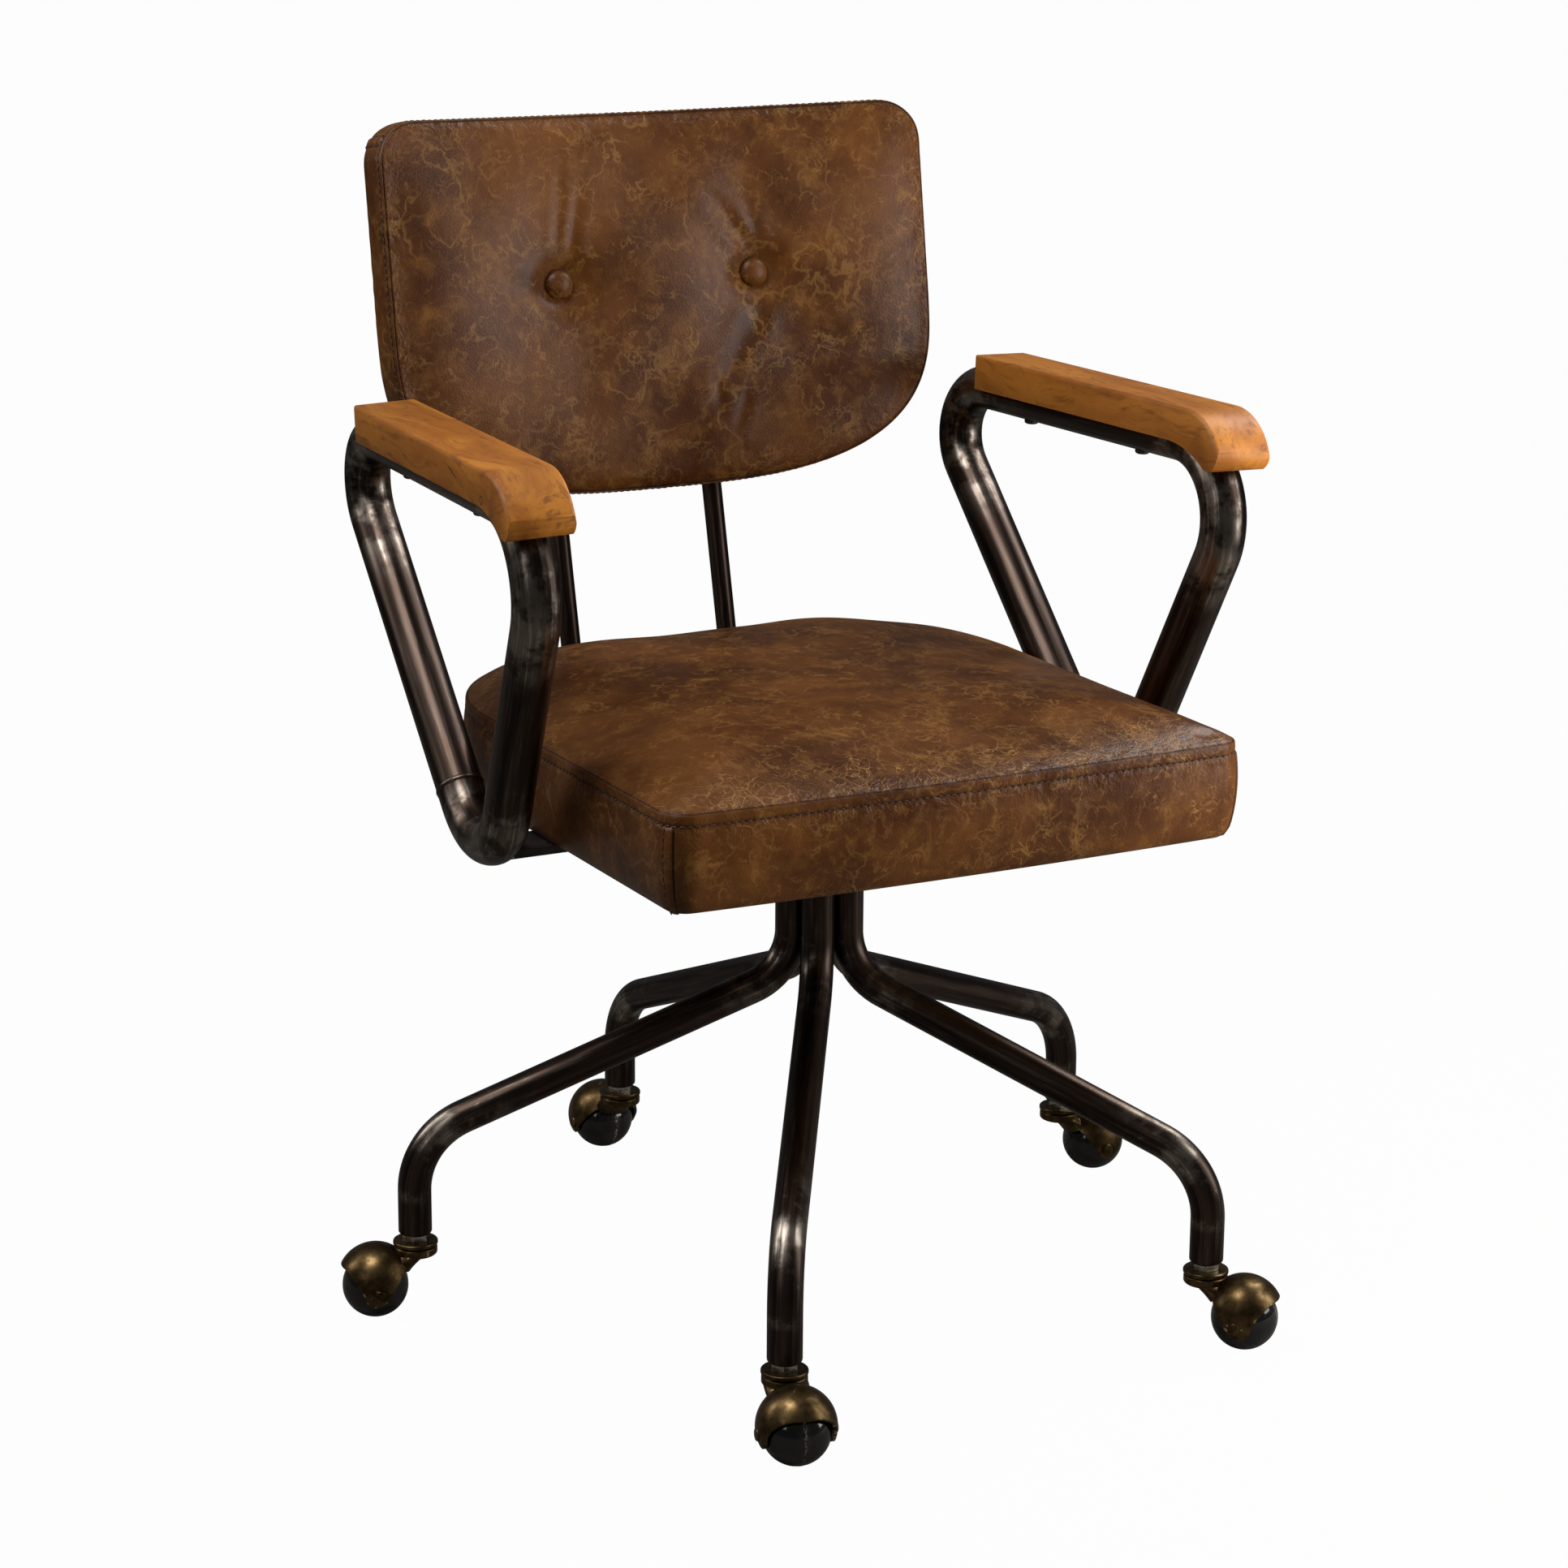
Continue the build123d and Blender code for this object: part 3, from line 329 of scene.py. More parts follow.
def wood_material():
    """Oiled acacia, planed and sanded: honey brown, grain that flows along the pad and round a knot."""
    made, tree, shader = new_material("oiled_acacia")
    place = put(tree, "ShaderNodeTexCoord", None, "Object")
    # Grain parts round the knot as water does round a post of 11 mm radius
    away = put(tree, "ShaderNodeVectorMath", {0: place, 1: KNOT}, 0, operation="SUBTRACT")
    spread = put(tree, "ShaderNodeVectorMath", {0: away, 1: away}, "Value", operation="DOT_PRODUCT")
    spread = put(tree, "ShaderNodeMath", {0: spread, 1: KNOT_CORE}, 0, operation="ADD")
    spread = put(tree, "ShaderNodeMath", {0: -KNOT_PUSH, 1: spread}, 0, operation="DIVIDE")
    away = put(tree, "ShaderNodeVectorMath", {0: away, "Scale": spread}, 0, operation="SCALE")
    parted = put(tree, "ShaderNodeVectorMath", {0: place, 1: away}, 0, operation="ADD")
    sway = put(tree, "ShaderNodeTexNoise", {"Vector": place, "Scale": 13.0, "Detail": 2.0}, "Color")
    sway = put(tree, "ShaderNodeVectorMath", {0: sway, 1: (0.5, 0.5, 0.5)}, 0, operation="SUBTRACT")
    sway = put(tree, "ShaderNodeVectorMath", {0: sway, "Scale": 0.036}, 0, operation="SCALE")
    parted = put(tree, "ShaderNodeVectorMath", {0: parted, 1: sway}, 0, operation="ADD")
    along = put(tree, "ShaderNodeMapping", {"Vector": parted, "Scale": (1.0, 0.07, 1.0)}, 0)
    # Growth rings about 5 mm apart, finer lines between; fibres of 0.2 mm are drawn at 1 mm so that they show
    broad = put(tree, "ShaderNodeTexNoise", {"Vector": along, "Scale": 38.0, "Detail": 3.0}, "Fac")
    rings = put(
        tree, "ShaderNodeTexNoise", {"Vector": along, "Scale": 190.0, "Detail": 5.0, "Roughness": 0.62}, "Fac"
    )
    fibres = put(tree, "ShaderNodeTexNoise", {"Vector": along, "Scale": 1000.0, "Detail": 2.0}, "Fac")
    share = put(tree, "ShaderNodeMapRange", {0: broad, 1: 0.34, 2: 0.66}, 0, **EASED)
    colour = put(tree, "ShaderNodeMix", {0: share, 6: linear("93571e"), 7: linear("b4732a")}, 2, **RGBA)
    share = put(tree, "ShaderNodeMapRange", {0: rings, 1: 0.5, 2: 0.7, 4: 0.75}, 0, **EASED)
    colour = put(tree, "ShaderNodeMix", {0: share, 6: colour, 7: linear("713f14")}, 2, **RGBA)
    share = put(tree, "ShaderNodeMapRange", {0: fibres, 1: 0.5, 2: 0.8, 4: 0.3}, 0, **EASED)
    colour = put(tree, "ShaderNodeMix", {0: share, 6: colour, 7: linear("552c0c")}, 2, **RGBA)
    edge = put(tree, "ShaderNodeNewGeometry", None, "Pointiness")
    share = put(tree, "ShaderNodeMapRange", {0: edge, 1: 0.51, 2: 0.58, 4: 0.3}, 0, **EASED)
    colour = put(tree, "ShaderNodeMix", {0: share, 6: colour, 7: linear("643610")}, 2, **RGBA)
    # Small dark oval beside the knot and a short crack
    ring = put(tree, "ShaderNodeVectorMath", {0: place, 1: OVAL}, "Value", operation="DISTANCE")
    ring = put(tree, "ShaderNodeMath", {0: ring, 1: 2.8 * MM}, 0, operation="SUBTRACT")
    ring = put(tree, "ShaderNodeMath", {0: ring}, 0, operation="ABSOLUTE")
    mark = put(tree, "ShaderNodeMapRange", {0: ring, 1: 0.8 * MM, 2: 0.2 * MM}, 0, **EASED)
    run = Vector(CRACK[1]) - Vector(CRACK[0])
    from_start = put(tree, "ShaderNodeVectorMath", {0: place, 1: CRACK[0]}, 0, operation="SUBTRACT")
    reach = put(
        tree,
        "ShaderNodeVectorMath",
        {0: from_start, 1: run / run.length_squared},
        "Value",
        operation="DOT_PRODUCT",
    )
    reach = put(tree, "ShaderNodeClamp", {0: reach}, 0)
    reach = put(tree, "ShaderNodeVectorMath", {0: tuple(run), "Scale": reach}, 0, operation="SCALE")
    split = put(tree, "ShaderNodeVectorMath", {0: from_start, 1: reach}, "Value", operation="DISTANCE")
    split = put(tree, "ShaderNodeMapRange", {0: split, 1: 1.0 * MM, 2: 0.3 * MM}, 0, **EASED)
    mark = put(tree, "ShaderNodeMath", {0: mark, 1: split}, 0, operation="MAXIMUM")
    mark = put(tree, "ShaderNodeMath", {0: mark, 1: 0.85}, 0, operation="MULTIPLY")
    colour = put(tree, "ShaderNodeMix", {0: mark, 6: colour, 7: linear("2e1707")}, 2, **RGBA)
    tree.links.new(colour, shader.inputs["Base Color"])
    bump = put(tree, "ShaderNodeBump", {"Height": fibres, "Strength": 0.12, "Distance": 0.0004}, 0)
    tree.links.new(bump, shader.inputs["Normal"])
    rough = put(tree, "ShaderNodeMapRange", {0: rings, 1: 0.3, 2: 0.7, 3: 0.42, 4: 0.54}, 0)
    tree.links.new(rough, shader.inputs["Roughness"])
    shader.inputs["IOR"].default_value = 1.45
    shader.inputs["Specular IOR Level"].default_value = 0.4
    return made


def tube_material():
    """Drawn steel tube, blackened and brushed lengthwise: near-black bronze, bare where bends are rubbed."""
    made, tree, shader = new_material("rubbed_bronze_steel")
    along = put(tree, "ShaderNodeAttribute", None, "Vector", attribute_name="tube_place")
    bend = put(tree, "ShaderNodeAttribute", None, "Fac", attribute_name="rub")
    # Brush marks 0.2 mm wide are drawn at 2 mm so that they show, twenty times as long as wide
    drawn = put(tree, "ShaderNodeMapping", {"Vector": along, "Scale": (1.0, 1.0, 0.05)}, 0)
    streaks = put(
        tree, "ShaderNodeTexNoise", {"Vector": drawn, "Scale": 430.0, "Detail": 4.0, "Roughness": 0.6}, "Fac"
    )
    bands = put(tree, "ShaderNodeTexNoise", {"Vector": drawn, "Scale": 110.0, "Detail": 3.0}, "Fac")
    cloud = put(
        tree, "ShaderNodeTexNoise", {"Vector": along, "Scale": 30.0, "Detail": 5.0, "Roughness": 0.65}, "Fac"
    )
    fine = put(tree, "ShaderNodeMapRange", {0: streaks, 1: 0.5, 2: 0.72}, 0, **EASED)
    rubbed = put(tree, "ShaderNodeMapRange", {0: bend, 1: 0.4, 2: 1.0}, 0, **EASED)
    patch = put(tree, "ShaderNodeMapRange", {0: cloud, 1: 0.44, 2: 0.62}, 0, **EASED)
    wear = put(tree, "ShaderNodeMath", {0: rubbed, 1: patch}, 0, operation="MULTIPLY")
    grit = put(tree, "ShaderNodeMath", {0: fine, 1: 0.65, 2: 0.35}, 0, operation="MULTIPLY_ADD")
    wear = put(tree, "ShaderNodeMath", {0: wear, 1: grit}, 0, operation="MULTIPLY")
    share = put(tree, "ShaderNodeMapRange", {0: bands, 1: 0.35, 2: 0.68}, 0, **EASED)
    colour = put(tree, "ShaderNodeMix", {0: share, 6: linear("2f2621"), 7: linear("52443c")}, 2, **RGBA)
    share = put(tree, "ShaderNodeMapRange", {0: cloud, 1: 0.5, 2: 0.75, 4: 0.55}, 0, **EASED)
    colour = put(tree, "ShaderNodeMix", {0: share, 6: colour, 7: linear("4a332a")}, 2, **RGBA)
    share = put(tree, "ShaderNodeMath", {0: fine, 1: 0.3}, 0, operation="MULTIPLY")
    colour = put(tree, "ShaderNodeMix", {0: share, 6: colour, 7: linear("7d7066")}, 2, **RGBA)
    share = put(tree, "ShaderNodeMath", {0: wear, 1: 0.9}, 0, operation="MULTIPLY")
    colour = put(tree, "ShaderNodeMix", {0: share, 6: colour, 7: linear("d6cabb")}, 2, **RGBA)
    tree.links.new(colour, shader.inputs["Base Color"])
    rough = put(tree, "ShaderNodeMapRange", {0: bands, 1: 0.3, 2: 0.7, 3: 0.28, 4: 0.4}, 0)
    rough = put(tree, "ShaderNodeMath", {0: wear, 1: -0.06, 2: rough}, 0, operation="MULTIPLY_ADD")
    tree.links.new(rough, shader.inputs["Roughness"])
    bump = put(tree, "ShaderNodeBump", {"Height": streaks, "Strength": 0.12, "Distance": 0.0003}, 0)
    tree.links.new(bump, shader.inputs["Normal"])
    shader.inputs["Metallic"].default_value = 1.0
    return made


def brass_material():
    """Antiqued brass pressing: brown patina in clouds and fine specks, bright metal along the rims."""
    made, tree, shader = new_material("antiqued_brass")
    place = put(tree, "ShaderNodeTexCoord", None, "Object")
    # Patina clouds about 10 mm across; specks of 0.3 mm are drawn at 1.3 mm so that they show
    cloud = put(
        tree, "ShaderNodeTexNoise", {"Vector": place, "Scale": 95.0, "Detail": 5.0, "Roughness": 0.65}, "Fac"
    )
    specks = put(
        tree, "ShaderNodeTexNoise", {"Vector": place, "Scale": 760.0, "Detail": 4.0, "Roughness": 0.7}, "Fac"
    )
    edge = put(tree, "ShaderNodeNewGeometry", None, "Pointiness")
    share = put(tree, "ShaderNodeMapRange", {0: cloud, 1: 0.36, 2: 0.66}, 0, **EASED)
    colour = put(tree, "ShaderNodeMix", {0: share, 6: linear("44351f"), 7: linear("766040")}, 2, **RGBA)
    share = put(tree, "ShaderNodeMapRange", {0: specks, 1: 0.5, 2: 0.7, 4: 0.75}, 0, **EASED)
    colour = put(tree, "ShaderNodeMix", {0: share, 6: colour, 7: linear("2b1e10")}, 2, **RGBA)
    share = put(tree, "ShaderNodeMapRange", {0: edge, 1: 0.53, 2: 0.62, 4: 0.85}, 0, **EASED)
    colour = put(tree, "ShaderNodeMix", {0: share, 6: colour, 7: linear("d8bd85")}, 2, **RGBA)
    tree.links.new(colour, shader.inputs["Base Color"])
    rough = put(tree, "ShaderNodeMapRange", {0: cloud, 1: 0.3, 2: 0.7, 3: 0.42, 4: 0.3}, 0)
    tree.links.new(rough, shader.inputs["Roughness"])
    bump = put(tree, "ShaderNodeBump", {"Height": specks, "Strength": 0.1, "Distance": 0.0004}, 0)
    tree.links.new(bump, shader.inputs["Normal"])
    shader.inputs["Metallic"].default_value = 1.0
    return made


def zinc_material():
    """Zinc-plated steel: bright, slightly clouded."""
    made, tree, shader = new_material("zinc_plated_steel")
    place = put(tree, "ShaderNodeTexCoord", None, "Object")
    # Clouds in the plating about 4 mm across
    cloud = put(tree, "ShaderNodeTexNoise", {"Vector": place, "Scale": 240.0, "Detail": 4.0}, "Fac")
    share = put(tree, "ShaderNodeMapRange", {0: cloud, 1: 0.35, 2: 0.7}, 0, **EASED)
    colour = put(tree, "ShaderNodeMix", {0: share, 6: linear("a9a69c"), 7: linear("d2cfc5")}, 2, **RGBA)
    tree.links.new(colour, shader.inputs["Base Color"])
    rough = put(tree, "ShaderNodeMapRange", {0: cloud, 1: 0.3, 2: 0.7, 3: 0.2, 4: 0.36}, 0)
    tree.links.new(rough, shader.inputs["Roughness"])
    shader.inputs["Metallic"].default_value = 1.0
    return made


def ball_material():
    """Moulded phenolic ball: black and polished, faintly swirled, rough and grey along its mould line."""
    made, tree, shader = new_material("black_phenolic")
    place = put(tree, "ShaderNodeTexCoord", None, "Object")
    mould = put(tree, "ShaderNodeAttribute", None, "Fac", attribute_name="mould_line")
    # Swirls about 17 mm across; scuffs of 0.4 mm are drawn at 1.6 mm so that they show
    swirl = put(
        tree, "ShaderNodeTexNoise", {"Vector": place, "Scale": 60.0, "Detail": 5.0, "Distortion": 1.5}, "Fac"
    )
    scuffs = put(
        tree, "ShaderNodeTexNoise", {"Vector": place, "Scale": 620.0, "Detail": 4.0, "Roughness": 0.7}, "Fac"
    )
    share = put(tree, "ShaderNodeMapRange", {0: swirl, 1: 0.45, 2: 0.75}, 0, **EASED)
    colour = put(tree, "ShaderNodeMix", {0: share, 6: linear("090808"), 7: linear("1a1613")}, 2, **RGBA)
    spots = put(tree, "ShaderNodeMapRange", {0: scuffs, 1: 0.46, 2: 0.6}, 0, **EASED)
    spots = put(tree, "ShaderNodeMath", {0: spots, 1: mould}, 0, operation="MULTIPLY")
    colour = put(tree, "ShaderNodeMix", {0: spots, 6: colour, 7: linear("7b7268")}, 2, **RGBA)
    tree.links.new(colour, shader.inputs["Base Color"])
    rough = put(tree, "ShaderNodeMapRange", {0: scuffs, 1: 0.45, 2: 0.8, 3: 0.07, 4: 0.24}, 0)
    rough = put(tree, "ShaderNodeMath", {0: mould, 1: 0.4, 2: rough}, 0, operation="MULTIPLY_ADD")
    tree.links.new(rough, shader.inputs["Roughness"])
    shader.inputs["IOR"].default_value = 1.6
    return made


def enamel_material():
    """Black stoved enamel on steel plate: satin, with a slight orange peel."""
    made, tree, shader = new_material("satin_black_enamel")
    place = put(tree, "ShaderNodeTexCoord", None, "Object")
    # Orange peel about 3 mm from dimple to dimple
    peel = put(tree, "ShaderNodeTexNoise", {"Vector": place, "Scale": 350.0, "Detail": 3.0}, "Fac")
    colour = put(tree, "ShaderNodeMix", {0: peel, 6: linear("151211"), 7: linear("2a2522")}, 2, **RGBA)
    tree.links.new(colour, shader.inputs["Base Color"])
    rough = put(tree, "ShaderNodeMapRange", {0: peel, 1: 0.3, 2: 0.7, 3: 0.34, 4: 0.48}, 0)
    tree.links.new(rough, shader.inputs["Roughness"])
    bump = put(tree, "ShaderNodeBump", {"Height": peel, "Strength": 0.1, "Distance": 0.0004}, 0)
    tree.links.new(bump, shader.inputs["Normal"])
    return made


def plywood_material():
    """Birch plywood underside, sawn and unfinished: pale, straight open grain along the chair's width."""
    made, tree, shader = new_material("birch_plywood")
    place = put(tree, "ShaderNodeTexCoord", None, "Object")
    # Grain lines about 6 mm apart, twelve times as long as wide
    along = put(tree, "ShaderNodeMapping", {"Vector": place, "Scale": (0.08, 1.0, 1.0)}, 0)
    grain = put(tree, "ShaderNodeTexNoise", {"Vector": along, "Scale": 160.0, "Detail": 5.0}, "Fac")
    share = put(tree, "ShaderNodeMapRange", {0: grain, 1: 0.35, 2: 0.7}, 0, **EASED)
    colour = put(tree, "ShaderNodeMix", {0: share, 6: linear("b8935f"), 7: linear("94703f")}, 2, **RGBA)
    tree.links.new(colour, shader.inputs["Base Color"])
    bump = put(tree, "ShaderNodeBump", {"Height": grain, "Strength": 0.15, "Distance": 0.0004}, 0)
    tree.links.new(bump, shader.inputs["Normal"])
    shader.inputs["Roughness"].default_value = 0.7
    return made


def thread_material():
    """Waxed polyester thread, twisted: dark brown with a low shine."""
    made, tree, shader = new_material("waxed_thread")
    place = put(tree, "ShaderNodeTexCoord", None, "Object")
    # Twist about 0.7 mm long
    twist = put(tree, "ShaderNodeTexNoise", {"Vector": place, "Scale": 1500.0, "Detail": 2.0}, "Fac")
    colour = put(tree, "ShaderNodeMix", {0: twist, 6: linear("2e1b10"), 7: linear("5a3d28")}, 2, **RGBA)
    tree.links.new(colour, shader.inputs["Base Color"])
    shader.inputs["Roughness"].default_value = 0.42
    return made


HIDE = hide_material()
WOOD = wood_material()
TUBE = tube_material()
BRASS = brass_material()
ZINC = zinc_material()
BALL = ball_material()
ENAMEL = enamel_material()
PLYWOOD = plywood_material()
THREAD = thread_material()


# Mesh helpers


def add_object(name, mesh):
    """Link a mesh as a new object at the origin."""
    made = bpy.data.objects.new(name, mesh)
    bpy.context.scene.collection.objects.link(made)
    return made


def mesh_of(name, points, faces, material, merge=True):
    """Smooth mesh from points and faces, turned outwards; without merge, points keep their numbers."""
    mesh = bpy.data.meshes.new(name)
    mesh.from_pydata([tuple(p) for p in points], [], faces)
    work = bmesh.new()
    work.from_mesh(mesh)
    if merge:
        bmesh.ops.remove_doubles(work, verts=work.verts, dist=1e-6)
    bmesh.ops.recalc_face_normals(work, faces=work.faces)
    for face in work.faces:
        face.smooth = True
    work.to_mesh(mesh)
    work.free()
    mesh.materials.append(material)
    return mesh


def mark_points(mesh, name, values):
    """Store one number for each point of a mesh."""
    mesh.attributes.new(name, "FLOAT", "POINT").data.foreach_set("value", [float(v) for v in values])


def settle(piece):
    """Turn an object's evaluated shape into its own plain mesh and drop its modifiers."""
    bpy.context.view_layer.update()
    graph = bpy.context.evaluated_depsgraph_get()
    done = bpy.data.meshes.new_from_object(piece.evaluated_get(graph))
    old = piece.data
    piece.modifiers.clear()
    piece.data = done
    bpy.data.meshes.remove(old)
    done.name = piece.name
    return piece


def apply_tree(piece, tree, **inputs):
    """Run a node tree on an object, its inputs set by their identifiers, and keep the plain mesh."""
    modifier = piece.modifiers.new(tree.name, "NODES")
    modifier.node_group = tree
    known = {s.name: s.identifier for s in tree.interface.items_tree if s.in_out == "INPUT"}
    for name, value in inputs.items():
        modifier[known[name.replace("_", " ")]] = value
    return settle(piece)


def new_tree(name, inputs):
    """Empty geometry tree with named inputs; returns the tree and its input node."""
    tree = bpy.data.node_groups.new(name, "GeometryNodeTree")
    for label, kind in {"Geometry": "Geometry", **inputs}.items():
        tree.interface.new_socket(label, in_out="INPUT", socket_type="NodeSocket" + kind)
    tree.interface.new_socket("Geometry", in_out="OUTPUT", socket_type="NodeSocketGeometry")
    return tree, put(tree, "NodeGroupInput")


def merged_copy(node):
    """Copy of a CAD node's mesh with its doubles merged and its flat faces joined."""
    mesh = frame["nodes"][node].data.copy()
    work = bmesh.new()
    work.from_mesh(mesh)
    bmesh.ops.remove_doubles(work, verts=work.verts, dist=1e-5)
    bmesh.ops.dissolve_limit(work, angle_limit=math.radians(0.3), verts=work.verts, edges=work.edges)
    for face in work.faces:
        face.smooth = True
    work.to_mesh(mesh)
    work.free()
    return mesh


def eased_copy(node, material, width, angle=32.0, segments=2):
    """Piece that stands for a CAD node, its sharp edges slightly broken."""
    mesh = merged_copy(node)
    mesh.materials.clear()
    mesh.materials.append(material)
    piece = add_object(node + "_dressed", mesh)
    bevel = piece.modifiers.new("eased", "BEVEL")
    bevel.width = width
    bevel.segments = segments
    bevel.limit_method = "ANGLE"
    bevel.angle_limit = math.radians(angle)
    bevel.harden_normals = True
    settle(piece)
    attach(piece, frame["nodes"][node]["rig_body"])
    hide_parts(node)
    return piece


def ring_faces(rings, sides):
    """Faces between closed rings of points that follow each other."""
    faces = []
    for j in range(rings - 1):
        for i in range(sides):
            nxt = (i + 1) % sides
            faces.append((j * sides + i, j * sides + nxt, (j + 1) * sides + nxt, (j + 1) * sides + i))
    return faces


def end_faces(rings, sides):
    """Faces that close the first and the last of such rings."""
    return [tuple(range(sides)), tuple((rings - 1) * sides + i for i in range(sides))]


def turned(profile, sides, place, pleats=None):
    """Points and faces of a profile of radius and height turned round an axis, put in the chair by place."""
    points = []
    for j, (radius, height) in enumerate(profile):
        for i in range(sides):
            angle = 2 * math.pi * i / sides
            girth = radius * (pleats(j, angle) if pleats else 1.0)
            points.append(place(girth * math.cos(angle), girth * math.sin(angle), height))
    return points, ring_faces(len(profile), sides)


# Tubes along a route


def tube_tree():
    """Corners with bend radii become a rounded route, and a circle is run along it."""
    tree, given = new_tree(
        "tube_along_route",
        {"Tube radius": "Float", "Sides": "Int", "Bend steps": "Int", "Finish": "Material"},
    )
    route = put(tree, "GeometryNodeMeshToCurve", {"Mesh": given.outputs["Geometry"]}, 0)
    bend = put(tree, "GeometryNodeInputNamedAttribute", {"Name": "bend"}, 0, data_type="FLOAT")
    rounded = put(
        tree,
        "GeometryNodeFilletCurve",
        {"Curve": route, "Count": given.outputs["Bend steps"], "Radius": bend},
        0,
        mode="POLY",
    )
    length = put(tree, "GeometryNodeSplineParameter", None, "Length")
    measured = put(
        tree,
        "GeometryNodeStoreNamedAttribute",
        {"Geometry": rounded, "Name": "run", "Value": length},
        0,
        data_type="FLOAT",
        domain="POINT",
    )
    ring = put(
        tree,
        "GeometryNodeCurvePrimitiveCircle",
        {"Resolution": given.outputs["Sides"], "Radius": given.outputs["Tube radius"]},
        0,
        mode="RADIUS",
    )
    around = put(tree, "GeometryNodeInputPosition", None, 0)
    ring = put(
        tree,
        "GeometryNodeStoreNamedAttribute",
        {"Geometry": ring, "Name": "around", "Value": around},
        0,
        data_type="FLOAT_VECTOR",
        domain="POINT",
    )
    girth = put(tree, "GeometryNodeInputNamedAttribute", {"Name": "girth"}, 0, data_type="FLOAT")
    tube_wall = put(
        tree,
        "GeometryNodeCurveToMesh",
        {"Curve": measured, "Profile Curve": ring, "Scale": girth, "Fill Caps": True},
        0,
    )
    side = put(tree, "GeometryNodeInputNamedAttribute", {"Name": "around"}, 0, data_type="FLOAT_VECTOR")
    run = put(tree, "GeometryNodeInputNamedAttribute", {"Name": "run"}, 0, data_type="FLOAT")
    apart = put(tree, "ShaderNodeSeparateXYZ", {0: side})
    place = put(tree, "ShaderNodeCombineXYZ", {0: apart.outputs[0], 1: apart.outputs[1], 2: run}, 0)
    placed = put(
        tree,
        "GeometryNodeStoreNamedAttribute",
        {"Geometry": tube_wall, "Name": "tube_place", "Value": place},
        0,
        data_type="FLOAT_VECTOR",
        domain="POINT",
    )
    smooth = put(tree, "GeometryNodeSetShadeSmooth", {"Geometry": placed, "Shade Smooth": True}, 0)
    whole = put(tree, "GeometryNodeRealizeInstances", {0: smooth}, 0)
    done = put(tree, "GeometryNodeSetMaterial", {"Geometry": whole, "Material": given.outputs["Finish"]}, 0)
    put(tree, "NodeGroupOutput", {0: done})
    return tree


TUBE_TREE = tube_tree()


def tube(name, route, radius, body, *stood_for, sides=40, bend_steps=18):
    """Tube piece through route points of place, bend radius, girth and rub."""
    mesh = bpy.data.meshes.new(name)
    mesh.from_pydata([tuple(p[0]) for p in route], [(i, i + 1) for i in range(len(route) - 1)], [])
    for index, key in ((1, "bend"), (2, "girth"), (3, "rub")):
        mark_points(mesh, key, [p[index] for p in route])
    piece = add_object(name, mesh)
    apply_tree(piece, TUBE_TREE, Tube_radius=radius, Sides=sides, Bend_steps=bend_steps, Finish=TUBE)
    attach(piece, body)
    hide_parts(*stood_for)
    return piece


def with_runs(corners):
    """Corners with a plain, unrubbed point in the middle of what the bends leave of each run."""
    places = [Vector(c[0]) for c in corners]
    reach = [0.0] * len(corners)
    for i in range(1, len(corners) - 1):
        turn = (places[i] - places[i - 1]).angle(places[i + 1] - places[i])
        reach[i] = corners[i][1] * math.tan(turn / 2)
    route = [corners[0]]
    for i in range(len(corners) - 1):
        run = places[i + 1] - places[i]
        plain = run.length - reach[i] - reach[i + 1]
        if plain > 20 * MM:
            route.append((places[i] + run.normalized() * (reach[i] + plain / 2), 0.0, 1.0, 0.0))
        route.append(corners[i + 1])
    return route


def rounded_end(place, inward, depth, radius):
    """Route points that draw a tube's mouth in on a quarter round, last point at the mouth."""
    points = []
    for step in range(5):
        angle = step / 4 * math.pi / 2
        along = depth * (1 - math.sin(angle))
        girth = 1 - depth * (1 - math.cos(angle)) / radius
        points.append((Vector(place) + Vector(inward) * along, 0.0, girth, 0.3))
    return points


def leg_route(turn):
    """One leg from the hub to its foot."""
    corners = [
        ((LEG_PITCH, 0, LEG_TOP_Z), 0.0, 1.0, 0.0),
        ((LEG_PITCH, 0, LEG_NECK_Z), LEG_NECK_BEND, 1.0, 0.8),
        ((LEG_FOOT_R, 0, LEG_KNEE_Z), LEG_KNEE_BEND, 1.0, 0.9),
        ((LEG_FOOT_R, 0, LEG_FOOT_Z + LEG_END_ROUND), 0.0, 1.0, 0.0),
    ]
    mouth = rounded_end((LEG_FOOT_R, 0, LEG_FOOT_Z), (0, 0, 1), LEG_END_ROUND, LEG_R)
    return [(turn @ Vector(p[0]), *p[1:]) for p in with_runs(corners)[:-1] + mouth]


def arm_place(side):
    """Matrix that stands an arm up beside the seat."""
    stand = Matrix.Translation(ARM_FOOT) @ Matrix.Rotation(math.radians(ARM_TOE), 4, "Z")
    stand = stand @ Matrix.Rotation(math.radians(ARM_LEAN), 4, "Y")
    return Matrix.Diagonal((side, 1, 1, 1)) @ stand


RAIL_REAR = ARM_RAIL_H * math.tan(math.radians(ARM_REAR_ANGLE))
RAIL_FRONT = -ARM_RAIL_H * math.tan(math.radians(ARM_FRONT_ANGLE))
WELD = (0, ARM_WELD_H * math.tan(math.radians(ARM_REAR_ANGLE)), ARM_WELD_H)


